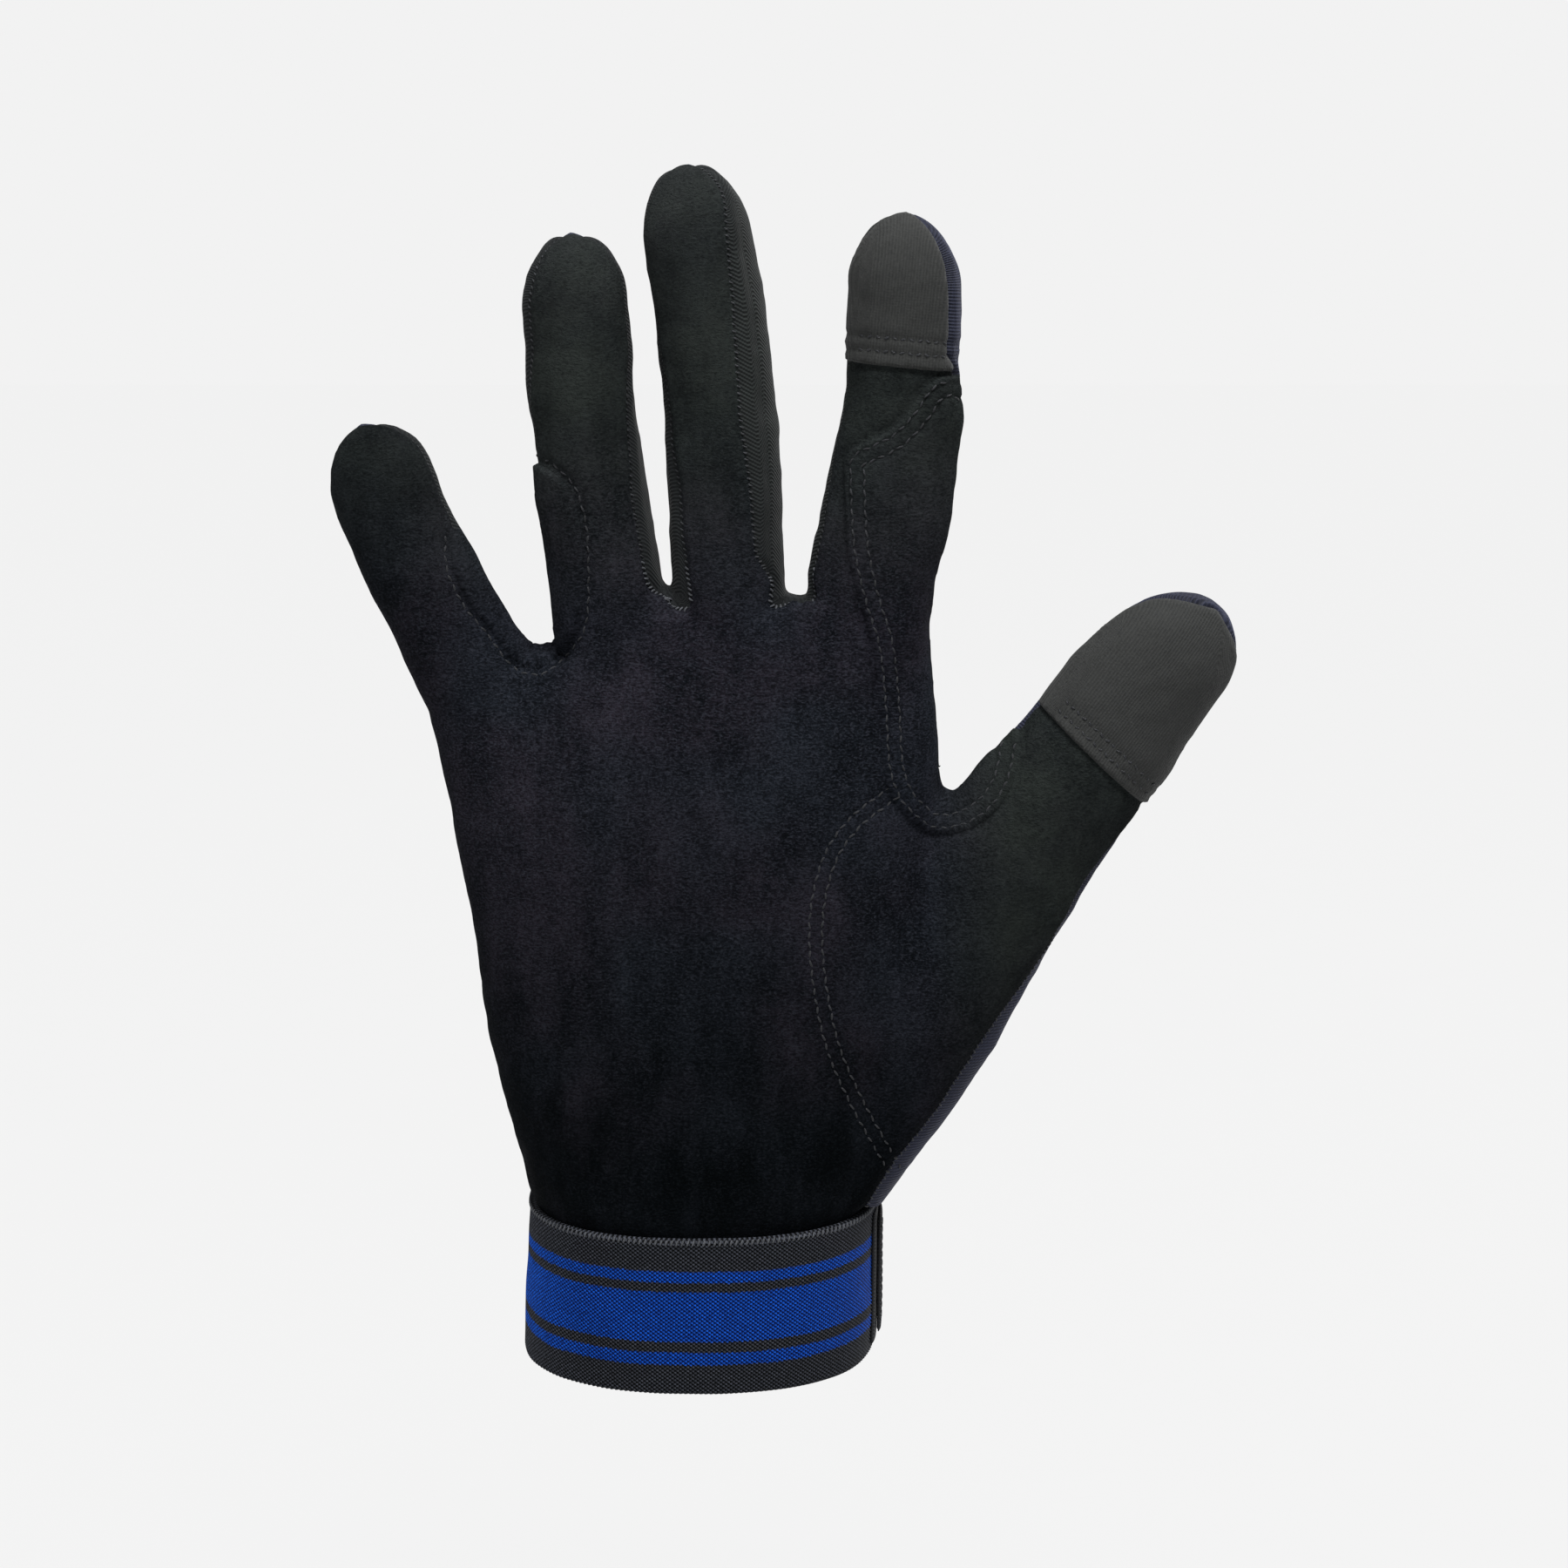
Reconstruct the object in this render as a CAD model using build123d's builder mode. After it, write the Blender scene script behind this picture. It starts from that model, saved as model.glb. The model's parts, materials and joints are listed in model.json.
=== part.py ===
"""Thin right-hand skating glove, open to be worn, in millimetres.

+Z runs from the wrist opening to the fingertips, the palm faces -Y and the thumb is on
the +X side. The origin is the centre of the wrist opening, on the cuff's lower rim.

The hand and the fingers are thin lofted shells, cut into the panels that the glove is
sewn from: palm panels in front, back panels that wrap the outer sides, and fourchettes
between the fingers. Each finger has two knuckles. At a knuckle the stiff panels leave a
notch, widest at the palm side, and a soft gusset fills it.
"""
import os
from math import pi, sin, tan, radians

from build123d import *

os.makedirs("parts", exist_ok=True)

# Materials
WALL = 1.2  # palm suede, back knit and fourchettes
OVERLAY = 0.9  # sewn-on reinforcements and fingertip patches
SPLIT = 6.0  # where the palm and back panels meet the side walls, from the mid plane

# Cuff, a rounded rectangle seen from the wrist
CUFF_WIDTH, CUFF_DEPTH, CUFF_CORNER = 72.0, 52.0, 24.0
CUFF_HEIGHT = 32.0
ELASTIC = 2.0  # woven elastic, across the palm side
BACK_CUFF = 1.6  # knit cuff, across the back
CUFF_SPLIT = 4.0  # the elastic ends here, just behind the mid plane
CUFF_GAP = 0.2

# Hook-and-loop closure on the back of the cuff
PATCH = 0.8  # hook and loop patches
TAB = 1.5
TAB_LOW, TAB_HIGH = 4.0, 29.0
TAB_END = -14.0  # the tab's free end, across the back
TAB_HINGE_Y = 5.0
CLOSURE_GAP = 0.2

# Knuckles
HINGE_Y = -4.5  # the bending axis lies towards the palm side
ROOT_BEND, MID_BEND = 80.0, 85.0
THUMB_ROOT_BEND, THUMB_MID_BEND = 45.0, 60.0
BEND_MARGIN = 3.0  # spare angle, so that the panels never meet
KNUCKLE_GAP = 1.2  # half the gap on the back of a knuckle
NOTCH_SPARE = 1.5  # a notch is cut this much wider than the finger, on each side

# The hand below the fingers: height, little-finger edge, thumb edge, depth, corner
HAND = [
    (CUFF_HEIGHT, -35.5, 36.5, 50.0, 22.0),
    (55.0, -40.0, 42.0, 44.0, 19.0),
    (85.0, -44.3, 45.0, 38.0, 16.0),
    (115.0, -48.8, 46.5, 33.0, 14.0),
    (138.0, -55.0, 45.3, 27.0, 11.5),
    (151.0, -58.0, 44.5, 20.6, 9.4),
]

# The web beside the little finger is lower than the others, in that finger's own frame
LITTLE_WEB = -5.0
LITTLE_WEB_EDGE = 16.5

# The base of the thumb along its own axis: place, sideways centre, width, depth
THUMB_BASE = [(-72.0, 7.5, 31.0, 34.0), (-40.0, 3.7, 37.5, 33.0), (-20.0, 1.5, 35.0, 30.0)]


class Finger:
    """A finger tube on its own axis, which starts level with the web beside it."""

    def __init__(self, root, lean, length, bow, widths, depths, knuckles, bends, fourchettes):
        self.plane = Plane(
            origin=(root[0], 0, root[1]),
            x_dir=Vector(1, 0, 0).rotate(Axis.Y, lean),
            z_dir=Vector(0, 0, 1).rotate(Axis.Y, lean),
        )
        self.length = length
        self.bow = bow
        self.widths = widths
        self.depths = depths
        self.knuckles = knuckles
        self.bends = bends
        self.fourchettes = fourchettes  # -1 towards the little finger, 1 towards the thumb

    def station(self, place, scale=1.0):
        """The section at a place along the axis: place, sideways centre, width, depth."""
        along = max(place, 0.0) / self.length
        centre = self.bow * sin(pi * along)
        width = self.widths[0] + (self.widths[1] - self.widths[0]) * along
        depth = self.depths[0] + (self.depths[1] - self.depths[0]) * along
        return place, centre, width * scale, depth * scale

    def stations(self, start, end):
        """Sections from start to end. The last ones close the fingertip."""
        tip = [(self.length - 9.0, 1.0), (self.length - 4.0, 0.86), (self.length - 1.2, 0.6),
               (self.length, 0.36)]
        body = [start, 0.0, self.length * 0.25, self.length * 0.5]
        inside = sorted({p for p in body if start <= p < min(end, tip[0][0])})
        if end < self.length:
            return [self.station(p) for p in inside] + [self.station(end)]
        return [self.station(p) for p in inside] + [self.station(p, s) for p, s in tip]


FINGERS = {
    "index": Finger((33.0, 154.0), 5.3, 71.5, 2.5, (24.2, 20.2), (19.5, 16.5),
                    (7.0, 32.0), (ROOT_BEND, MID_BEND), (-1,)),
    "middle": Finger((5.4, 156.0), -4.6, 78.7, 1.7, (22.4, 20.0), (19.5, 16.5),
                     (7.0, 35.0), (ROOT_BEND, MID_BEND), (-1, 1)),
    "ring": Finger((-16.9, 156.0), -5.2, 66.1, -1.7, (21.6, 19.0), (19.0, 16.0),
                   (7.0, 30.0), (ROOT_BEND, MID_BEND), (-1, 1)),
    "little": Finger((-45.0, 143.0), -21.5, 47.3, -2.2, (22.0, 18.2), (18.0, 15.0),
                     (7.0, 24.0), (ROOT_BEND, MID_BEND), (1,)),
    "thumb": Finger((62.0, 105.0), 36.9, 60.4, 0.3, (30.6, 22.5), (26.0, 19.0),
                    (8.0, 30.0), (THUMB_ROOT_BEND, THUMB_MID_BEND), ()),
}
ROUNDNESS = 0.42  # corner radius of a finger's section, as a share of its depth
REACH = 20.0  # how far a finger's stub runs down into the hand
FAR = 80.0  # beyond any edge of the part that a cutter is used on


def save(part, name):
    """Label a finished piece and write it."""
    part.label = name
    export_step(part, f"parts/{name}.step")


def tube(plane, stations, grow, mode=Mode.ADD):
    """Loft rounded rectangles along a plane's normal, grown outwards by grow."""
    sections = []
    for place, centre, width, depth in stations:
        with BuildSketch(plane.offset(place)) as section:
            with Locations((centre, 0)):
                RectangleRounded(width + 2 * grow, depth + 2 * grow,
                                 ROUNDNESS * (depth + 2 * grow))
        sections.append(section.sketch)
    loft(sections, ruled=True, mode=mode)


def finger_tube(finger, start, grow=0.0, mode=Mode.ADD):
    """A whole finger from start to its tip, grown outwards by grow."""
    stations = finger.stations(start, finger.length)
    place, centre, width, depth = stations[-1]
    stations[-1] = (place + grow, centre, width, depth)
    tube(finger.plane, stations, grow, mode)


def hand_tube(grow=0.0, top=0.0, mode=Mode.ADD):
    """The hand below the fingers, grown outwards by grow, its top lowered by top."""
    sections = []
    for height, low, high, depth, corner in HAND:
        drop = top if height == HAND[-1][0] else 0.0
        with BuildSketch(Plane.XY.offset(height - drop)) as section:
            with Locations(((low + high) / 2, 0)):
                RectangleRounded(high - low + 2 * grow, depth + 2 * grow, corner + grow)
        sections.append(section.sketch)
    loft(sections, ruled=True, mode=mode)


def hand_and_stubs(grow, top):
    """The hand, the thumb's base and the stubs of the fingers as one solid."""
    with BuildPart() as solid:
        hand_tube(grow, top)
        with BuildSketch(FINGERS["little"].plane.offset(LITTLE_WEB - top)):
            with Locations(((LITTLE_WEB_EDGE - FAR) / 2, 0)):
                Rectangle(FAR + LITTLE_WEB_EDGE, FAR)
        extrude(amount=FAR, mode=Mode.SUBTRACT)
        for name, finger in FINGERS.items():
            knuckle = finger.knuckles[0]
            if name == "thumb":
                stations = THUMB_BASE + [finger.station(0.0), finger.station(knuckle)]
            else:
                stations = finger.stations(-REACH, knuckle)
            tube(finger.plane, stations, grow)
    return solid.part


def side_plane(plane):
    """The finger's side view: sketch x is towards the back, sketch y along the finger."""
    return Plane(origin=plane.origin, x_dir=plane.y_dir, z_dir=plane.x_dir)


def knuckle_notch(finger, which, mode):
    """The wedge at a knuckle that the soft gusset fills, cut or kept."""
    axis, bend = finger.knuckles[which], finger.bends[which]
    flare = KNUCKLE_GAP + (FAR + HINGE_Y) * tan(radians((bend + BEND_MARGIN) / 2))
    with BuildSketch(side_plane(finger.plane)) as notch:
        with BuildLine():
            Polyline(
                (FAR, axis + KNUCKLE_GAP), (HINGE_Y, axis + KNUCKLE_GAP), (-FAR, axis + flare),
                (-FAR, axis - flare), (HINGE_Y, axis - KNUCKLE_GAP), (FAR, axis - KNUCKLE_GAP),
                close=True,
            )
        make_face()
    extrude(notch.sketch, amount=finger.widths[0] / 2 + NOTCH_SPARE, both=True, mode=mode)


def keep(plane, places, across, through):
    """Keep what lies in a box of a plane's frame: along its normal, its x and its y."""
    with BuildSketch(plane.offset(places[0])) as section:
        with Locations((sum(across) / 2, sum(through) / 2)):
            Rectangle(across[1] - across[0], through[1] - through[0])
    extrude(section.sketch, amount=places[1] - places[0], mode=Mode.INTERSECT)


def keep_outline(points, through):
    """Keep what lies inside an outline seen from the front, between two depths."""
    with BuildSketch(Plane.XZ.offset(-through[1])) as outline:
        with BuildLine():
            Polyline(*points, close=True)
        make_face()
    extrude(outline.sketch, amount=through[1] - through[0], mode=Mode.INTERSECT)


# Shells

shells = {}
skins = {}
for name, finger in FINGERS.items():
    with BuildPart() as shell:
        finger_tube(finger, 0.0)
        finger_tube(finger, -1.0, -WALL, Mode.SUBTRACT)
    shells[name] = shell.part
    with BuildPart() as skin:
        finger_tube(finger, 0.0, OVERLAY)
        finger_tube(finger, 0.0, 0.0, Mode.SUBTRACT)
    skins[name] = skin.part

hand_outside = hand_and_stubs(0.0, 0.0)
with BuildPart() as hand_shell:
    add(hand_outside)
    add(hand_and_stubs(-WALL, WALL), mode=Mode.SUBTRACT)
    with BuildSketch(Plane.XY.offset(CUFF_HEIGHT)):
        Rectangle(CUFF_WIDTH - 6.0, CUFF_DEPTH - 8.0)
    extrude(amount=WALL, mode=Mode.SUBTRACT)
    for finger in FINGERS.values():
        knuckle_notch(finger, 0, Mode.SUBTRACT)
with BuildPart() as hand_skin:
    add(hand_and_stubs(OVERLAY, -OVERLAY))
    add(hand_outside, mode=Mode.SUBTRACT)
    for finger in FINGERS.values():
        knuckle_notch(finger, 0, Mode.SUBTRACT)


# Hand panels

EVERYWHERE = (-FAR * 2, FAR * 2)
WEB_ZONE = [(-45.0, 132.0), (-30.0, 138.0), (33.0, 146.0), (33.5, 170.0), (-50.0, 170.0)]

with BuildPart() as hand_palm_panel:
    add(hand_shell.part)
    keep(Plane.XY, (0, 200), EVERYWHERE, (-FAR, -SPLIT))
save(hand_palm_panel.part, "hand_palm_panel")

with BuildPart() as web_fourchettes:
    add(hand_shell.part)
    keep_outline(WEB_ZONE, (-SPLIT, SPLIT))
save(web_fourchettes.part, "web_fourchettes")

with BuildPart() as hand_back_panel:
    add(hand_shell.part)
    keep(Plane.XY, (0, 200), EVERYWHERE, (-SPLIT, FAR))
    add(web_fourchettes.part, mode=Mode.SUBTRACT)
save(hand_back_panel.part, "hand_back_panel")


# Finger panels, from the root knuckle to the middle one and from there to the tip

for name, finger in FINGERS.items():
    root, mid = finger.knuckles
    for segment, places, notches in (
        ("proximal", (root, mid), (0, 1)),
        ("distal", (mid, finger.length + 1.0), (1,)),
    ):
        with BuildPart() as palm_side:
            add(shells[name])
            keep(finger.plane, places, EVERYWHERE, (-FAR, -SPLIT))
            for which in notches:
                knuckle_notch(finger, which, Mode.SUBTRACT)
        save(palm_side.part, f"{name}_palm_{segment}")

        if finger.fourchettes:
            across = (-FAR if -1 in finger.fourchettes else 0, FAR if 1 in finger.fourchettes else 0)
            with BuildPart() as fourchettes:
                add(shells[name])
                keep(finger.plane, places, across, (-SPLIT, SPLIT))
                for which in notches:
                    knuckle_notch(finger, which, Mode.SUBTRACT)
            save(fourchettes.part, f"{name}_fourchettes_{segment}")

        with BuildPart() as back_side:
            add(shells[name])
            keep(finger.plane, places, EVERYWHERE, (-SPLIT, FAR))
            for which in notches:
                knuckle_notch(finger, which, Mode.SUBTRACT)
            if finger.fourchettes:
                add(fourchettes.part, mode=Mode.SUBTRACT)
        save(back_side.part, f"{name}_back_{segment}")

    for which, place in enumerate(("root", "mid")):
        with BuildPart() as gusset:
            add(shells[name])
            knuckle_notch(finger, which, Mode.INTERSECT)
        save(gusset.part, f"{name}_{place}_gusset")


# Reinforcements, sewn on over the palm panels

INDEX_THUMB_OUTLINE = [
    (29.5, 175.0), (31.0, 152.0), (36.2, 135.5), (38.0, 121.9), (40.6, 110.8),
    (48.2, 107.8), (56.5, 113.4), (57.0, 119.0), (49.0, 125.0), (49.0, 175.0),
]
with BuildPart() as index_thumb_reinforcement:
    add(hand_skin.part)
    keep_outline(INDEX_THUMB_OUTLINE, (-FAR, -2.0))
save(index_thumb_reinforcement.part, "index_thumb_reinforcement")

with BuildPart() as index_reinforcement:
    add(skins["index"])
    keep(FINGERS["index"].plane, (7.0, 32.0), (-2.0, 20.0), (-FAR, -2.0))
    for which in (0, 1):
        knuckle_notch(FINGERS["index"], which, Mode.SUBTRACT)
save(index_reinforcement.part, "index_reinforcement")

RING_LITTLE_OUTLINE = [
    (-21.0, 170.0), (-24.9, 145.6), (-29.6, 141.4), (-34.7, 147.3), (-40.0, 155.0), (-35.0, 170.0),
]
with BuildPart() as ring_little_reinforcement:
    add(hand_skin.part)
    keep_outline(RING_LITTLE_OUTLINE, (-FAR, -2.0))
save(ring_little_reinforcement.part, "ring_little_reinforcement")

with BuildPart() as ring_reinforcement:
    add(skins["ring"])
    keep(FINGERS["ring"].plane, (7.0, 30.0), (-20.0, -5.0), (-FAR, -2.0))
    for which in (0, 1):
        knuckle_notch(FINGERS["ring"], which, Mode.SUBTRACT)
save(ring_reinforcement.part, "ring_reinforcement")

for name, start, across in (("index", 44.2, (-20.0, 7.8)), ("thumb", 30.0, (-20.0, 20.0))):
    with BuildPart() as tip_patch:
        add(skins[name])
        keep(FINGERS[name].plane, (start, FINGERS[name].length + 2.0), across, (-FAR, 0.0))
        knuckle_notch(FINGERS[name], 1, Mode.SUBTRACT)
    save(tip_patch.part, f"{name}_tip_patch")


# Cuff and closure

def cuff_ring(low, high, inside, outside):
    """A ring that follows the cuff's outer surface, from inside to outside of it."""
    with BuildSketch(Plane.XY.offset(low)) as ring:
        for offset, mode in ((outside, Mode.ADD), (inside, Mode.SUBTRACT)):
            RectangleRounded(CUFF_WIDTH + 2 * offset, CUFF_DEPTH + 2 * offset,
                             CUFF_CORNER + offset, mode=mode)
    extrude(ring.sketch, amount=high - low)


with BuildPart() as elastic_band:
    cuff_ring(0, CUFF_HEIGHT, -ELASTIC, 0)
    keep(Plane.XY, (0, CUFF_HEIGHT), EVERYWHERE, (-FAR, CUFF_SPLIT))
save(elastic_band.part, "elastic_band")

with BuildPart() as back_cuff:
    cuff_ring(0, CUFF_HEIGHT, -BACK_CUFF, 0)
    keep(Plane.XY, (0, CUFF_HEIGHT), EVERYWHERE, (CUFF_SPLIT + CUFF_GAP, FAR))
save(back_cuff.part, "back_cuff")

with BuildPart() as cuff_binding:
    cuff_ring(0.4, 3.4, 0, 0.7)
    keep(Plane.XY, (0, CUFF_HEIGHT), EVERYWHERE, (CUFF_SPLIT + CUFF_GAP, FAR))
save(cuff_binding.part, "cuff_binding")

loop_outer = PATCH
hook_inner = loop_outer + CLOSURE_GAP
tab_inner = hook_inner + PATCH
tab_outer = tab_inner + TAB

with BuildPart() as loop_patch:
    cuff_ring(TAB_LOW + 1.5, TAB_HIGH - 1.5, 0, loop_outer)
    keep(Plane.XY, (0, CUFF_HEIGHT), (-29.0, 8.0), (0, FAR))
save(loop_patch.part, "loop_patch")

with BuildPart() as tab_anchor:
    cuff_ring(TAB_LOW - 2.0, TAB_HIGH + 1.0, 0, TAB)
    keep(Plane.XY, (0, CUFF_HEIGHT), (0, FAR), (-7.0, TAB_HINGE_Y - 1.2))
save(tab_anchor.part, "tab_anchor")

with BuildPart() as closure_tab:
    cuff_ring(TAB_LOW, TAB_HIGH, tab_inner, tab_outer)
    keep(Plane.XY, (0, CUFF_HEIGHT), (TAB_END, FAR), (TAB_HINGE_Y, FAR))
    fillet(closure_tab.edges().filter_by(Axis.Y).group_by(Axis.X)[0], radius=6.0)
save(closure_tab.part, "closure_tab")

with BuildPart() as hook_patch:
    cuff_ring(TAB_LOW + 1.5, TAB_HIGH - 1.5, hook_inner, tab_inner)
    keep(Plane.XY, (0, CUFF_HEIGHT), (TAB_END + 6.0, 6.0), (0, FAR))
save(hook_patch.part, "hook_patch")
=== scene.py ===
"""Looks of a thin right-hand skating glove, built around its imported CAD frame.

Sizes are in millimetres and angles in degrees unless a comment says otherwise; meshes
are turned into metres when they become Blender objects. +Z runs from the wrist to the
fingertips, the palm faces -Y and the thumb is on the +X side.

One closed form of the worn glove is lofted, remeshed and smoothed. Scalar fields on it
say where the seams, the reinforcements and the joints lie. It is cut along them, given
its relief, and taken apart into thin closed panels that follow the CAD bodies.
"""

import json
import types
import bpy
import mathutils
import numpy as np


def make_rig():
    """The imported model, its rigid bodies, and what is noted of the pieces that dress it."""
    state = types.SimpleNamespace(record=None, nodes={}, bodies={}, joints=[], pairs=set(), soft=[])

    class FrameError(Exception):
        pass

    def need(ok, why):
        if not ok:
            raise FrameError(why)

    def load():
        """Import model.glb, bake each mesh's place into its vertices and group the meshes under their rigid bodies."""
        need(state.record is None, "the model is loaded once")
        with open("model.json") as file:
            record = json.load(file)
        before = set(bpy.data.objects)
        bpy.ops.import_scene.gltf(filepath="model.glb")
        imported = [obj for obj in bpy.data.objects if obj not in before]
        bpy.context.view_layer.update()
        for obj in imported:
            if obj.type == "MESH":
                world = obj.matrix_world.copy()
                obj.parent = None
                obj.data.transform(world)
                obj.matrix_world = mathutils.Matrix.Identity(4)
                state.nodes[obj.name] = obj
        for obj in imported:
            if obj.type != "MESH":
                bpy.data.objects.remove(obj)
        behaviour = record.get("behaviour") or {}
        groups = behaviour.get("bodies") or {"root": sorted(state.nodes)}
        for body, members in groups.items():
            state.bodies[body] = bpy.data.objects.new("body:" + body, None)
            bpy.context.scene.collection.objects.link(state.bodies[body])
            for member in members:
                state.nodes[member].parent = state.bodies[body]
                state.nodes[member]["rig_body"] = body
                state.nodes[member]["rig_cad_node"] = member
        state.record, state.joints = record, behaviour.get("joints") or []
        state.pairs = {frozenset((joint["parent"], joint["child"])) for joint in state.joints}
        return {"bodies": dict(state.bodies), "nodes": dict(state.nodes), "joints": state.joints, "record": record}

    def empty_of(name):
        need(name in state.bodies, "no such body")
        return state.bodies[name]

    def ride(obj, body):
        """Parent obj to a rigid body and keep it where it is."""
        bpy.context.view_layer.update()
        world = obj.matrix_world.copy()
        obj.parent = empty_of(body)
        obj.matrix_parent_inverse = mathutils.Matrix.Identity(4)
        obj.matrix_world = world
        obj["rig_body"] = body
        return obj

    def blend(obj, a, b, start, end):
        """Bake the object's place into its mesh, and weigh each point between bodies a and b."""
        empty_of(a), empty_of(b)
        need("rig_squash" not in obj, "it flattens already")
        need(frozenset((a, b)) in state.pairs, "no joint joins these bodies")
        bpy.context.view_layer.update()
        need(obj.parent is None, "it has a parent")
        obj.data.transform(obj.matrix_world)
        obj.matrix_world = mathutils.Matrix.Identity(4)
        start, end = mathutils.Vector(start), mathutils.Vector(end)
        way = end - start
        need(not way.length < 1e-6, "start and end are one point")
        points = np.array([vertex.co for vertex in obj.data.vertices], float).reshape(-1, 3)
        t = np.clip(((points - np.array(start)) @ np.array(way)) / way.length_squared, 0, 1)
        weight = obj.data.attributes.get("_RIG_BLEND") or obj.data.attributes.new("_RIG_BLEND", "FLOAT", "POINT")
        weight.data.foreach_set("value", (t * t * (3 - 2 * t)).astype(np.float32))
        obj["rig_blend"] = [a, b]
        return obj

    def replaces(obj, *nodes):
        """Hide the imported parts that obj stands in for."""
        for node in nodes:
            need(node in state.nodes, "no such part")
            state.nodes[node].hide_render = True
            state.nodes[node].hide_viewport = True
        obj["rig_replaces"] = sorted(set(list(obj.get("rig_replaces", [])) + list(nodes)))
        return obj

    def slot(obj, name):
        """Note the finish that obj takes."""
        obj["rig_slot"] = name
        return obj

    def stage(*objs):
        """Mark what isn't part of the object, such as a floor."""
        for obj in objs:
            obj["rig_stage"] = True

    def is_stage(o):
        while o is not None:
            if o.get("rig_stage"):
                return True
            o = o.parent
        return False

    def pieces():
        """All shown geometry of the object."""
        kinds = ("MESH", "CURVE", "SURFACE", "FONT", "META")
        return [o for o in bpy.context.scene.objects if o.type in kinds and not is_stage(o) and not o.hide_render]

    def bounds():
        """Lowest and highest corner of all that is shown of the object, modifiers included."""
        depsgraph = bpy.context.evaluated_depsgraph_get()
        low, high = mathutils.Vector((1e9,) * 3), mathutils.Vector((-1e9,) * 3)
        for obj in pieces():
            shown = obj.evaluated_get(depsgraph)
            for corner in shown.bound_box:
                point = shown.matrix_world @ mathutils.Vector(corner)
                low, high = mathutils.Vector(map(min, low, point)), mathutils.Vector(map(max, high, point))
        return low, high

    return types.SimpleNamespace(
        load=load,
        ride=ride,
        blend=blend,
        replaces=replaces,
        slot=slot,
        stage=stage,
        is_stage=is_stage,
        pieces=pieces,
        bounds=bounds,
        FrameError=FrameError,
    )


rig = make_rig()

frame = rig.load()
cad_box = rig.bounds()

import json
from math import cos, pi, radians, sin

import bpy
import numpy as np
from mathutils import Vector, noise
from mathutils.bvhtree import BVHTree

MM = 0.001
JOINTS = {joint["name"]: joint for joint in frame["joints"]}

# The viewpoint. Outlines seen from it are given on a plane in front of the palm.
CAMERA_PLACE = np.array([16.36, -500.0, 233.0])
CAMERA_PITCH = 13.1
LENS, SENSOR = 60.5, 36.0
FACE_Y = -10.0

# Fabric
WALL = 1.2
OVERLAY = 1.0
PATCH_HEIGHT = 0.6
EDGE_PRESS = 0.35  # how deep a reinforcement's edge presses into the palm beside it
VOXEL = 0.8


# ---- small helpers

def placed(name, data):
    """A new object in the scene."""
    made = bpy.data.objects.new(name, data)
    bpy.context.scene.collection.objects.link(made)
    return made


def ease(value):
    """0 below 0, 1 above 1, smooth in between."""
    t = np.clip(value, 0.0, 1.0)
    return t * t * (3.0 - 2.0 * t)


def table(value, rows):
    """Interpolate each column of rows after the first, at value."""
    rows = np.array(rows, float)
    return [np.interp(value, rows[:, 0], rows[:, k]) for k in range(1, rows.shape[1])]


def bell(distance, width):
    """1 at distance 0, falling off over width."""
    return np.exp(-(distance / width) ** 2)


def noise_at(points, size, seed):
    """Smooth noise from -1 to 1 with features of about the given size."""
    shift = Vector((seed * 17.3, seed * 5.1, seed * 11.7))
    return np.array([noise.noise(Vector(p) + shift) for p in points / size])


def curve(points, step, closed=False):
    """A smooth line through a few points, resampled evenly."""
    p = np.array(points, float)
    if closed:
        p = np.vstack([p[-1], p, p[0], p[1]])
    else:
        p = np.vstack([2 * p[0] - p[1], p, 2 * p[-1] - p[-2]])
    t = np.linspace(0.0, 1.0, 12, endpoint=False)[:, None]
    dense = []
    for a, b, c, d in zip(p[:-3], p[1:-2], p[2:-1], p[3:]):
        dense.append(0.5 * (2 * b + (c - a) * t + (2 * a - 5 * b + 4 * c - d) * t ** 2
                            + (3 * b - a - 3 * c + d) * t ** 3))
    dense = np.vstack(dense + [p[-2][None]])
    return resample(dense, step)


def resample(line, step):
    """The same line with points at an even distance."""
    length = np.concatenate([[0.0], np.cumsum(np.linalg.norm(np.diff(line, axis=0), axis=1))])
    places = np.linspace(0.0, length[-1], max(2, int(round(length[-1] / step)) + 1))
    return np.stack([np.interp(places, length, line[:, k]) for k in range(line.shape[1])], 1)


def beside(line, distance):
    """An open 2D line moved sideways: to the right of its direction if positive."""
    run = np.gradient(line, axis=0)
    run /= np.linalg.norm(run, axis=1)[:, None]
    return line + distance * np.stack([run[:, 1], -run[:, 0]], 1)


def distance_to(spots, line, closed=False):
    """Distance of 2D spots to a line, positive inside where the line is closed."""
    start = line[:-1] if not closed else line
    end = line[1:] if not closed else np.roll(line, -1, axis=0)
    best = np.full(len(spots), np.inf)
    inside = np.zeros(len(spots), bool)
    for a, b in zip(start, end):
        run = b - a
        share = np.clip((spots - a) @ run / max(run @ run, 1e-9), 0.0, 1.0)
        best = np.minimum(best, np.linalg.norm(spots - a - share[:, None] * run, axis=1))
        crosses = (a[1] > spots[:, 1]) != (b[1] > spots[:, 1])
        if closed and crosses.any():
            at = a[0] + (spots[:, 1] - a[1]) / (b[1] - a[1] + 1e-12) * run[0]
            inside ^= crosses & (spots[:, 0] < at)
    return np.where(inside, best, -best) if closed else best


def seen(points):
    """Where points appear on the plane in front of the palm, from the viewpoint."""
    rel = points - CAMERA_PLACE
    share = (FACE_Y - CAMERA_PLACE[1]) / rel[:, 1]
    return (CAMERA_PLACE + rel * share[:, None])[:, [0, 2]]


# ---- digits

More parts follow.
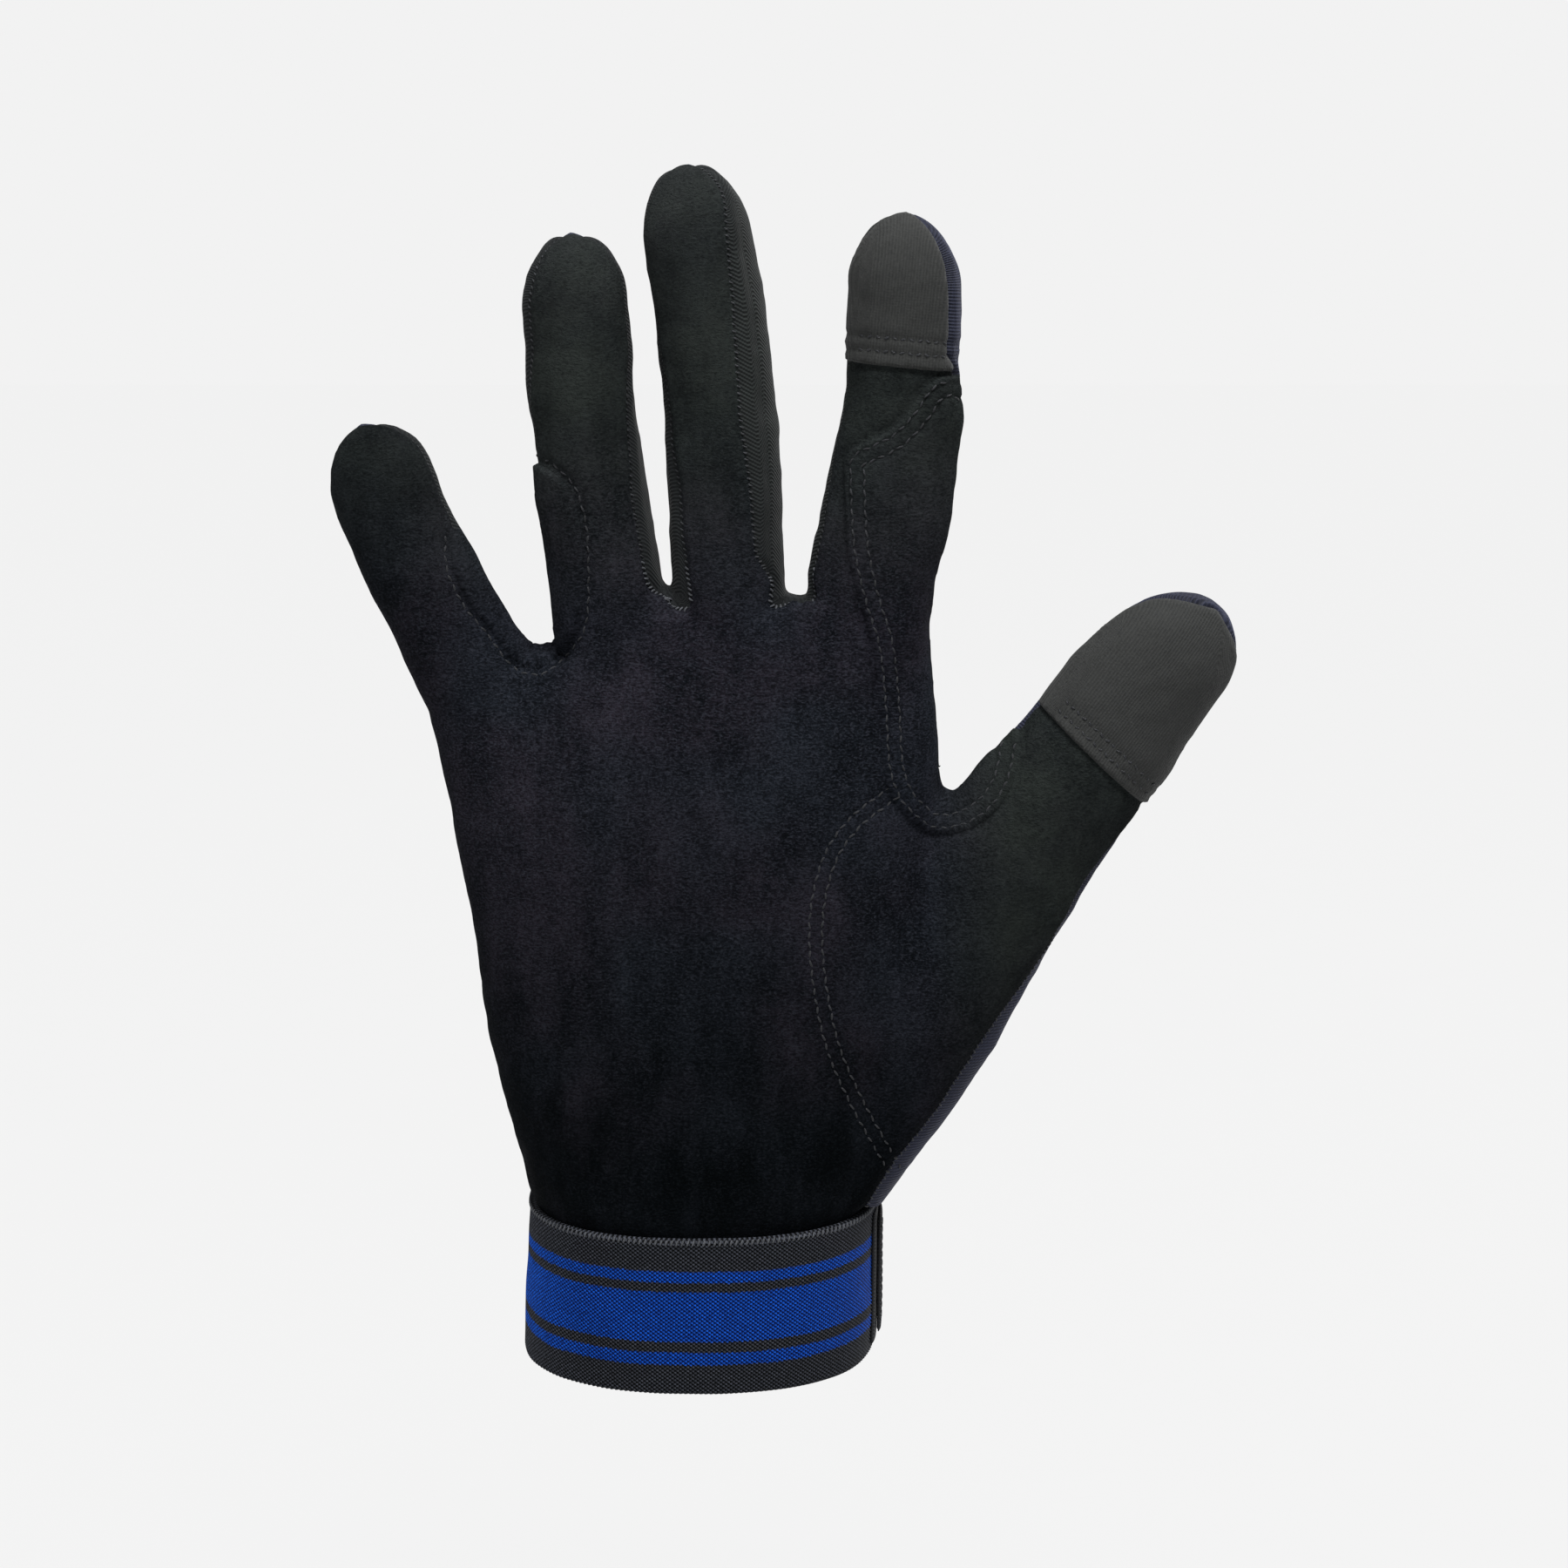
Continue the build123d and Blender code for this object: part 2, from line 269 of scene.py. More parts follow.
class Digit:
    """A finger or the thumb on its own straight axis, found from the CAD joints.

    inset: how far before its root joint the axis starts; the places below count from there
    length, cap: where the tip is, and where its rounding starts
    stations: place, sideways centre and width
    depths: at the root and at the tip
    curl: how far the tip leans towards the palm
    palm_seams: place, angle of the left seam and of the right one
    fourchettes: -1 towards the little finger, 1 towards the thumb
    mid_zone: where the middle knuckle starts and stops bending
    morph: where the hand's seams turn into its own, and how much later on its +X side
    zone_end: where the root knuckle stops bending
    """

    def __init__(self, name, inset, **shape):
        joint = JOINTS[name + "_root"]
        self.name = name
        self.across = np.array(joint["axis"])
        self.along = np.array([-self.across[2], 0.0, self.across[0]])
        self.root = np.array(joint["pos_m"]) / MM - inset * self.along
        self.root[1] = 0.0
        for key, value in shape.items():
            setattr(self, key, value)

    def point(self, u, v, y):
        """Row-frame place of local coordinates."""
        base = self.root + np.multiply.outer(v, self.along) + np.multiply.outer(u, self.across)
        base[..., 1] += y
        return base

    def local(self, points):
        """Across, along and depth, measured from the digit's curved centre line."""
        rel = points - self.root
        v = rel @ self.along
        centre = table(v, self.stations)[0]
        return rel @ self.across - centre, v, points[:, 1] - self.sag(v)

    def sag(self, v):
        return -self.curl * np.clip(v / self.length, 0.0, 1.0) ** 2

    def half(self, v):
        """Half the width and half the depth at a place."""
        width = table(v, self.stations)[1]
        depth = np.interp(v, [0.0, self.length], self.depths)
        return width / 2, depth / 2

    def rings(self, start, step=4.0):
        """Cross-sections from start to the tip, closing on an elliptical cap."""
        body = np.arange(start, self.cap, step)
        turns = np.radians(np.linspace(0.0, 86.0, 9))
        places = np.concatenate([body, self.cap + (self.length - self.cap) * np.sin(turns)])
        scales = np.concatenate([np.ones(len(body)), np.cos(turns)])
        for v, scale in zip(places, scales):
            across, depth = self.half(v)
            centre = table(v, self.stations)[0]
            u, y = oval(across * scale, depth * scale ** 0.9, FINGER_POWER)
            yield self.point(u + centre, np.full(len(u), v), y + self.sag(v))


SECTION_POINTS = 56
FINGER_POWER, HAND_POWER, CUFF_POWER = 2.25, 2.7, 2.3


def oval(across, depth, power):
    """A superellipse around the origin."""
    turn = np.linspace(0.0, 2 * pi, SECTION_POINTS, endpoint=False)
    c, s = np.cos(turn), np.sin(turn)
    return (across * np.sign(c) * np.abs(c) ** (2 / power),
            depth * np.sign(s) * np.abs(s) ** (2 / power))


CUT_LOW = 2.0  # where a digit's own panels start, past the web

DIGITS = [
    Digit("index", inset=7.0, length=71.5, cap=58.0, depths=(19.5, 16.5), curl=2.2,
          stations=[(-20, -0.9, 21.6), (0, -0.8, 23.2), (12, 0.5, 24.2), (24, 1.7, 23.4),
                    (36, 2.5, 22.0), (44, 1.5, 20.8), (52, 1.2, 21.2), (60, 0.5, 20.8),
                    (71.5, -0.4, 20.5)],
          palm_seams=[(0, 70, 82), (12, 72, 80), (24, 84, 78), (42, 90, 74), (47, 90, 52),
                      (62, 86, 50), (71, 72, 46)],
          fourchettes=(-1,), mid_zone=(25.0, 39.0), morph=(-4.0, 4.0, 0.0), zone_end=14.0),
    Digit("middle", inset=7.0, length=78.7, cap=64.0, depths=(19.5, 16.5), curl=1.8,
          stations=[(-20, 0.4, 20.8), (0, 0.4, 21.3), (8, 0.5, 21.6), (20, 1.4, 22.0),
                    (36, 1.7, 20.9), (52, 1.4, 20.8), (64, 0.6, 20.5), (72, -0.1, 20.2),
                    (78.7, -0.8, 20.0)],
          palm_seams=[(0, 45, 57), (6, 47, 36), (20, 56, 30), (32, 66, 24), (48, 80, 28),
                      (67, 84, 38), (78, 80, 62)],
          fourchettes=(-1, 1), mid_zone=(28.0, 42.0), morph=(-4.0, 4.0, 0.0), zone_end=14.0),
    Digit("ring", inset=7.0, length=66.1, cap=52.5, depths=(19.0, 16.0), curl=1.8,
          stations=[(-20, -0.2, 20.8), (0, -0.4, 20.6), (16, -1.1, 20.3), (28, -1.4, 19.6),
                    (40, -1.7, 20.0), (52, -1.0, 19.9), (66.1, -0.3, 19.6)],
          palm_seams=[(0, 88, 49), (17, 88, 51), (35, 74, 66), (45, 60, 80), (60, 58, 84),
                      (66, 62, 80)],
          fourchettes=(-1, 1), mid_zone=(25.5, 36.5), morph=(-14.0, -4.0, 10.0), zone_end=14.0),
    Digit("little", inset=7.0, length=47.3, cap=33.5, depths=(18.0, 15.0), curl=2.2,
          stations=[(-14, 0.2, 22.0), (-4, 0.1, 22.3), (8, -1.1, 21.2), (20, -2.0, 20.5),
                    (32, -2.1, 20.1), (40, -1.4, 19.9), (47.3, -1.2, 19.5)],
          palm_seams=[(0, 96, 86), (47, 94, 86)],
          fourchettes=(1,), mid_zone=(18.5, 30.5), morph=(-8.0, 0.0, 0.0), zone_end=14.0),
    Digit("thumb", inset=8.0, length=60.4, cap=44.0, depths=(26.0, 18.5), curl=1.0,
          stations=[(-75, 8.2, 30.6), (-60, 6.5, 32.4), (-40, 3.5, 36.4), (-20, 1.4, 35.0),
                    (-8, 0.6, 33.2), (0, 0.1, 31.3), (8, 0.0, 29.9), (16, 0.3, 28.2),
                    (28, 0.0, 28.0), (36, -0.5, 27.0), (44, -0.2, 25.2), (52, 0.5, 24.6),
                    (60.4, 1.4, 24.0)],
          palm_seams=[(0, 88, 66), (10, 90, 74), (22, 92, 88), (40, 92, 86), (60, 84, 84)],
          fourchettes=(), mid_zone=(21.5, 38.5), morph=(-12.0, 2.0, 0.0), zone_end=16.0),
]
THUMB = DIGITS[-1]
THUMB_BASE = (-75.0, 34.0)  # where the thumb's base starts in the hand, and its depth there


DIGIT_REACH = 1.45  # how far from its centre line a digit's points lie, in half widths


def nearest_digit(points):
    """Which digit each point is on (-1 for none), and its local coordinates there."""
    which = np.full(len(points), -1)
    best = np.full(len(points), DIGIT_REACH)
    u, v, y = (np.zeros(len(points)) for _ in range(3))
    for number, digit in enumerate(DIGITS):
        du, dv, dy = digit.local(points)
        share = np.abs(du) / digit.half(dv)[0]
        mine = (dv > digit.morph[0]) & (share < best)
        which[mine] = number
        best[mine] = share[mine]
        for kept, new in ((u, du), (v, dv), (y, dy)):
            kept[mine] = new[mine]
    return which, u, v, y


# ---- the closed form

# Cross-sections of the hand: x, z of its little-finger edge, of its thumb edge, depth
HAND = [
    (-32.6, 22.0, 32.2, 22.0, 46.0), (-33.0, 31.0, 32.8, 31.0, 46.2),
    (-34.9, 35.0, 35.0, 35.0, 47.6), (-37.0, 44.8, 38.6, 44.8, 46.5),
    (-39.8, 55.9, 40.8, 56.0, 44.0), (-42.0, 66.8, 42.2, 68.0, 41.5),
    (-44.6, 88.0, 45.0, 88.0, 37.5), (-46.7, 99.0, 46.0, 101.0, 35.0),
    (-48.8, 115.0, 45.9, 117.0, 32.0), (-50.6, 124.0, 44.6, 131.0, 28.5),
    (-52.2, 131.5, 43.2, 145.0, 24.0), (-53.2, 135.5, 42.0, 158.0, 18.5),
]

# Plugs that fill the webs between the digits: x, top, width, depth
WEB_PLUGS = [(-30.5, 143.0, 9.0, 18.0), (-7.2, 155.2, 5.0, 18.5), (17.8, 153.8, 5.5, 18.5),
             (-6.3, 153.4, 13.0, 20.4), (18.0, 151.5, 12.0, 20.4), (45.6, 115.6, 7.0, 15.0)]
PLUG_CROWN = 4.0  # the height of a plug's rounded top
PLUG_LEVELS = (26.0, 14.0, 8.0)  # how far under the top its lower cross-sections lie


def hand_rings():
    """Closed cross-sections of the hand."""
    for *edges, depth in HAND:
        left, right = np.array(edges[:2]), np.array(edges[2:])
        power = np.interp(left[1], [31.0, 56.0], [CUFF_POWER, HAND_POWER])
        u, y = oval(0.5, depth / 2, power)
        spot = (left + right) / 2 + np.multiply.outer(u, right - left)
        yield np.stack([spot[:, 0], y, spot[:, 1]], 1)


def thumb_rings():
    """The thumb with its base, as one tube."""
    start, depth = THUMB_BASE
    for v in np.arange(start, 0.0, 5.0):
        across = THUMB.half(v)[0]
        u, y = oval(across, np.interp(v, [start, 0.0], [depth, THUMB.depths[0]]) / 2, 2.4)
        centre = table(v, THUMB.stations)[0]
        yield THUMB.point(u + centre, np.full(len(u), v), y)
    yield from THUMB.rings(0.0)


def web_rings():
    """A short upright plug in each gap between fingers, ending where the web stands."""
    for x, top, width, depth in WEB_PLUGS:
        turns = np.radians(np.linspace(0.0, 86.0, 7))
        crown = top - PLUG_CROWN + PLUG_CROWN * np.sin(turns)
        places = np.concatenate([top - np.array(PLUG_LEVELS), crown])
        scales = np.concatenate([np.ones(len(PLUG_LEVELS)), np.cos(turns)])
        rings = []
        for z, scale in zip(places, scales):
            u, y = oval(width / 2 * (0.45 + 0.55 * scale), depth / 2 * scale, HAND_POWER)
            rings.append(np.stack([x + u, y, np.full(len(u), z)], 1))
        yield rings


def loft(rings):
    """Vertices and faces of a closed tube through rings."""
    rings = list(rings)
    n = SECTION_POINTS
    faces = [list(range(n))[::-1], [(len(rings) - 1) * n + k for k in range(n)]]
    for row in range(len(rings) - 1):
        for k in range(n):
            a, b = row * n + k, row * n + (k + 1) % n
            faces.append([a, b, b + n, a + n])
    return np.vstack(rings), faces


def remeshed(parts, voxel):
    """One triangle mesh around several overlapping closed tubes."""
    vertices, faces = [], []
    for points, polygons in parts:
        faces += [[k + len(vertices) for k in polygon] for polygon in polygons]
        vertices += points.tolist()
    mesh = bpy.data.meshes.new("form")
    mesh.from_pydata(vertices, [], faces)
    form = placed("form", mesh)
    remesh = form.modifiers.new("remesh", "REMESH")
    remesh.mode = "VOXEL"
    remesh.voxel_size = voxel
    made = form.evaluated_get(bpy.context.evaluated_depsgraph_get()).to_mesh()
    made.calc_loop_triangles()
    points = np.empty(len(made.vertices) * 3)
    triangles = np.empty(len(made.loop_triangles) * 3, np.int32)
    made.vertices.foreach_get("co", points)
    made.loop_triangles.foreach_get("vertices", triangles)
    bpy.data.objects.remove(form)
    bpy.data.meshes.remove(mesh)
    return points.reshape(-1, 3), triangles.reshape(-1, 3)


def edges_of(triangles):
    """The edges 01, then 12, then 20 of all triangles, as pairs of points."""
    return np.vstack([triangles[:, [0, 1]], triangles[:, [1, 2]], triangles[:, [2, 0]]])


def relaxed(points, triangles, rounds, share=0.5):
    """Move each point towards the middle of its neighbours."""
    a, b = np.unique(np.sort(edges_of(triangles), 1), axis=0).T
    count = np.bincount(a, minlength=len(points)) + np.bincount(b, minlength=len(points))
    for _ in range(rounds):
        total = np.stack([np.bincount(a, points[b, k], len(points))
                          + np.bincount(b, points[a, k], len(points)) for k in range(3)], 1)
        points = points + share * (total / count[:, None] - points)
    return points


def normals_of(points, triangles):
    """Vertex normals, weighted by area."""
    a, b, c = (points[triangles[:, k]] for k in range(3))
    face = np.cross(b - a, c - a)
    normal = np.zeros_like(points)
    for k in range(3):
        for axis in range(3):
            normal[:, axis] += np.bincount(triangles[:, k], face[:, axis], len(points))
    return normal / np.maximum(np.linalg.norm(normal, axis=1), 1e-9)[:, None]


# ---- seams and outlines

SEAM_ROUND = 8.0  # how gradually the thumb's seam turns from the hand's front to its side
OUTER_SEAM_Y = 2.0  # the palm wraps this far round the hand's edges
WEB_SEAM_Y = -7.5  # and stops at the front of the webs,
GAPS_X, GAPS_FROM = (-22.0, 24.0), 130.0  # which lie between these x and above this z
SEAM_TURN = 6.0  # how gradually its seam turns from one to the other
WEBS = [(-30.0, 143.0), (-7.0, 156.5), (18.4, 154.5)]
WEB_LIP = 3.0  # how much further back the seam runs in the middle of a web
WEB_REACH = 8.5
WEB_PUCKER = 0.9  # how far the gathered seam stands out at a web
WEB_STITCH_REACH = 6.0  # how far from a web its seam is sewn with paler thread
TIP_EDGE = 5.0  # how far in front of the thumb's tip its seam runs
FOURCHETTE_FRONT, FOURCHETTE_BACK = 8.0, 118.0  # the angles between which a fourchette lies
EDGE_MARGIN = 0.3  # how far a reinforcement stays inside the palm panel
OUTSIDE = -9.0  # the distance given to points that are far outside

# The seam between the palm and the back along the thumb, and a wide way round the rest
THUMB_SEAM = [(104.0, 134.0), (86.1, 114.9), (73.0, 95.2), (63.0, 79.5), (53.0, 64.5),
              (45.3, 51.9), (37.6, 41.1), (33.7, 34.1), (29.2, 27.8), (24.0, 21.0)]
AROUND_PALM = [(20.0, 5.0), (-90.0, 5.0), (-90.0, 270.0), (140.0, 270.0)]
PALM_SIDE = np.vstack([curve(THUMB_SEAM, 3.0), AROUND_PALM])

INDEX_THUMB_EDGE = [
    (49.8, 195.4), (46.8, 196.4), (42.8, 194.6), (39.8, 190.3), (36.0, 186.3), (31.2, 183.9),
    (28.3, 182.1), (27.6, 178.8), (28.2, 165.7), (29.6, 157.9), (31.1, 152.3), (33.3, 144.9),
    (34.5, 133.6), (35.3, 122.4), (37.3, 116.2), (39.9, 112.8), (44.7, 109.4), (51.2, 110.0),
    (56.8, 113.8), (60.1, 119.5), (61.4, 126.1),
]
RING_LITTLE_EDGE = [
    (-29.9, 180.4), (-27.8, 179.3), (-25.9, 177.8), (-23.6, 175.2), (-22.7, 172.6),
    (-21.6, 167.1), (-21.5, 157.2), (-22.0, 150.6), (-23.7, 146.9), (-27.2, 143.1),
    (-30.4, 141.4), (-34.3, 142.8), (-38.9, 149.1), (-42.4, 153.4), (-44.7, 157.9),
    (-45.8, 161.5), (-45.8, 166.1),
]
THENAR_SEAM = [(36.3, 118.1), (28.9, 112.1), (23.9, 104.4), (21.4, 93.1), (21.8, 80.8),
               (24.5, 66.6), (29.2, 54.9), (33.5, 46.7), (37.0, 40.3)]

ROW_GAP = 2.5  # between the two rows of a double seam
EDGE_TO_ROW = 1.2


def polygon(edge, closing):
    """A closed outline: a smooth visible edge and a few straight points past the object."""
    return np.vstack([curve(edge, 2.0), closing])


OVERLAYS = {
    "index_thumb": polygon(INDEX_THUMB_EDGE, [(60.0, 140.0), (57.0, 198.0)]),
    "ring_little": polygon(RING_LITTLE_EDGE, [(-38.0, 182.0)]),
}
# Fingertip patches: where the lower edge lies along the digit, and how much it slants
PATCHES = {"index": (43.9, 0.0, (2.7, 5.2)), "thumb": (23.0, -0.114, (2.2, 4.4))}

# Stitched rows seen from the viewpoint: points, and how far beside them each row runs
SEWN = [(INDEX_THUMB_EDGE, (-EDGE_TO_ROW, -EDGE_TO_ROW - ROW_GAP)),
        (RING_LITTLE_EDGE, (-EDGE_TO_ROW,)), (THENAR_SEAM, (0.0, -ROW_GAP))]
ROWS = [beside(curve(points, 1.0), side) for points, sides in SEWN for side in sides]


def angle_of(u, y):
    """Angle around a digit from the palm's middle, positive towards +X, and the radius."""
    return np.degrees(np.arctan2(u, -y)), np.hypot(u, y)


def soft_minimum(a, b, width):
    """The smaller of two values, rounded where they are nearer than width."""
    near = np.clip(1.0 - np.abs(a - b) / width, 0.0, 1.0)
    return np.minimum(a, b) - near ** 2 * width / 4


def seam_fields(points):
    """Two distances: inside the palm panel, and inside a fourchette, if positive."""
    x, y, z = points.T
    between = (ease((x - GAPS_X[0]) / SEAM_TURN) * (1.0 - ease((x - GAPS_X[1]) / SEAM_TURN))
               * ease((z - GAPS_FROM) / SEAM_TURN))
    seam_y = OUTER_SEAM_Y + (WEB_SEAM_Y - OUTER_SEAM_Y) * between
    seam_y += between * WEB_LIP * np.max([bell(x - web[0], 3.0) for web in WEBS], axis=0)
    palm = soft_minimum(seam_y - y, distance_to(seen(points), PALM_SIDE, True), SEAM_ROUND)
    webs = [WEB_REACH - np.hypot(x - web[0], z - web[1]) for web in WEBS]
    fourchette = np.minimum(np.max(webs, axis=0), 6.0 - y)
    which, u, v, local_y = nearest_digit(points)
    for number, digit in enumerate(DIGITS):
        mine = which == number
        angle, radius = angle_of(u[mine], local_y[mine])
        left, right = table(v[mine], digit.palm_seams)
        arc = np.radians(radius)
        own_palm = np.minimum(right - angle, angle + left) * arc
        if digit is THUMB:
            own_palm -= TIP_EDGE * ease((v[mine] - digit.length + 9.0) / 8.0)
        own_fourchette = np.full(mine.sum(), OUTSIDE)
        for side in digit.fourchettes:
            turned = angle * side
            strip = np.minimum(FOURCHETTE_BACK - turned, turned - FOURCHETTE_FRONT) * arc
            own_fourchette = np.maximum(own_fourchette, strip)
        start, end, later = digit.morph
        share = ease((v[mine] - start - later * (u[mine] > 0.0)) / (end - start))
        palm[mine] += share * (own_palm - palm[mine])
        fourchette[mine] += share * (own_fourchette - fourchette[mine])
    return palm, fourchette


def patch_rows():
    """The stitched rows on the fingertip patches, seen from the viewpoint."""
    rows = []
    for digit in DIGITS:
        start, slant, levels = PATCHES.get(digit.name, (0.0, 0.0, ()))
        for level in levels:
            u = np.linspace(-11.5, 11.5, 24)
            rows.append(seen(digit.point(u, start + slant * u + level, np.full(24, FACE_Y))))
    return rows


def overlay_field(points, name, palm):
    """Distance inside a reinforcement's outline, on the palm panel only."""
    return np.minimum(distance_to(seen(points), OVERLAYS[name], True), palm - EDGE_MARGIN)


def patch_field(points, name, palm):
    """Distance inside a fingertip patch, on the palm panel only."""
    number = [digit.name for digit in DIGITS].index(name)
    which, u, v, _ = nearest_digit(points)
    start, slant, _ = PATCHES[name]
    inside = np.where(which == number, v - start - slant * u, OUTSIDE)
    return np.where(palm > -3.0, np.minimum(inside, palm - EDGE_MARGIN), OUTSIDE)


# ---- cutting

SNAP = 0.1  # a point this near a cut is taken to lie on it


def cut(points, triangles, values, allowed=None):
    """Split the triangles along the line where values are 0."""
    values = np.where(np.abs(values) < SNAP, 0.0, values)
    edges = np.sort(edges_of(triangles), 1)
    crossing = values[edges[:, 0]] * values[edges[:, 1]] < 0
    if allowed is not None:
        crossing &= allowed[edges[:, 0]] & allowed[edges[:, 1]]
    split, back = np.unique(edges[crossing], axis=0, return_inverse=True)
    a, b = split.T
    share = (values[a] / (values[a] - values[b]))[:, None]
    made = points[a] + share * (points[b] - points[a])
    middle = np.full(len(edges), -1)
    middle[crossing] = len(points) + back.ravel()
    middle = middle.reshape(3, -1).T  # the new points on each triangle's edges 01, 12, 20
    count = (middle >= 0).sum(1)
    pieces = [triangles[count == 0]]
    for first in range(3):
        order = [first, (first + 1) % 3, (first + 2) % 3]
        p, q, r = (triangles[:, k] for k in order)
        pq, qr, rp = (middle[:, k] for k in order)
        one = (count == 1) & (pq >= 0)
        pieces += [np.stack([p, pq, r], 1)[one], np.stack([pq, q, r], 1)[one]]
        two = (count == 2) & (qr < 0)
        pieces += [np.stack([p, pq, rp], 1)[two], np.stack([pq, q, r], 1)[two],
                   np.stack([pq, r, rp], 1)[two]]
    return np.vstack([points, made]), np.vstack(pieces)


def dropped(points, triangles, keep):
    """The triangles to keep, with the points they use."""
    triangles = triangles[keep]
    used, back = np.unique(triangles, return_inverse=True)
    return points[used], back.reshape(-1, 3)


HAND_END = 24.0  # the hand's lower edge, tucked inside the cuff
BEVEL = 0.4  # a reinforcement's edge rises over this distance
BACK_Y = 8.0  # no reinforcement lies further back


def cut_form(points, triangles):
    """The closed form cut along every seam, joint and outline."""
    points, triangles = cut(points, triangles, points[:, 2] - HAND_END)
    points, triangles = dropped(points, triangles, points[triangles, 2].mean(1) > HAND_END)
    points, triangles = cut(points, triangles, seam_fields(points)[0])
    palm, fourchette = seam_fields(points)
    points, triangles = cut(points, triangles, fourchette, palm < SNAP)
    for number, digit in enumerate(DIGITS):
        for place in (CUT_LOW, digit.mid_zone[0]):
            which, _, v, _ = nearest_digit(points)
            points, triangles = cut(points, triangles, v - place, which == number)
    for level in (0.0, BEVEL):
        for name in OVERLAYS:
            field = overlay_field(points, name, seam_fields(points)[0])
            points, triangles = cut(points, triangles, field - level, points[:, 1] < BACK_Y)
        for name in PATCHES:
            field = patch_field(points, name, seam_fields(points)[0])
            points, triangles = cut(points, triangles, field - level, field > OUTSIDE + 1.0)
    return points, triangles


# ---- relief

# Folds of the cloth: size, how much shorter they are up the hand, height
FOLDS = [(16.0, 1.3, 0.45), (6.5, 1.4, 0.22), (2.4, 1.0, 0.09)]
SEAM_VALLEY, SEAM_RIDGE = 0.55, 0.22  # the depth of a seam, and the height of its sides
ROW_GROOVE = 0.36

# Fullness of the hand under the palm, of the thumb's mound, the heel and the hollow:
# x, z, how much its length up the hand counts, reach, height
MOUNDS = [(47.0, 72.0, 0.8, 24.0, 2.4), (-24.0, 66.0, 0.7, 24.0, 1.2),
          (4.0, 98.0, 0.8, 26.0, -2.0)]


def relief(points, palm, fourchette):
    """How far each point stands out: folds, seam valleys and stitched grooves."""
    spots = seen(points)
    front = points[:, 1] < 0.0
    height = np.zeros(len(points))
    for seed, (size, flatness, rise) in enumerate(FOLDS, 1):
        height += rise * noise_at(points * (1.0, 1.0, flatness), size, seed)
    inner = np.where(palm < 0.0, np.abs(fourchette), -OUTSIDE)
    for distance in (np.abs(palm), inner):
        height += SEAM_RIDGE * bell(distance - 2.0, 1.2) - SEAM_VALLEY * bell(distance, 0.75)
    lip = [bell(np.hypot(points[:, 0] - x, points[:, 2] - z), 6.0) for x, z in WEBS]
    pucker = 0.6 + 0.8 * noise_at(points, 1.6, 4)
    rim = bell(palm - 1.0, 0.7) * (palm > 0.0)
    height += WEB_PUCKER * rim * pucker * np.max(lip, axis=0)
    for line in ROWS + patch_rows():
        height -= np.where(front, ROW_GROOVE * bell(distance_to(spots, line), 0.65), 0.0)
    return height


def mounds(points):
    """How far points of the palm side move along Y: forwards on a mound, back in a hollow."""
    x, y, z = points.T
    rise = sum(height * bell(np.hypot(x - at_x, (z - at_z) * share), reach)
               for at_x, at_z, share, reach, height in MOUNDS)
    return np.where(y < 0.0, -rise, 0.0) * ease(-y / 8.0)


# ---- materials

def linear(red, green, blue):
    """A display colour from 0 to 255 as the linear values that nodes use."""
    share = np.array([red, green, blue]) / 255.0
    light = np.where(share <= 0.04045, share / 12.92, ((share + 0.055) / 1.055) ** 2.4)
    return (*(float(v) for v in light), 1.0)


class Value:
    """A node's output. Its sums and products are Math nodes."""

    def __init__(self, material, socket):
        self.material, self.socket = material, socket

    def __add__(self, other):
        return self.material.math("ADD", self, other)

    def __sub__(self, other):
        return self.material.math("SUBTRACT", self, other)

    def __mul__(self, other):
        return self.material.math("MULTIPLY", self, other)


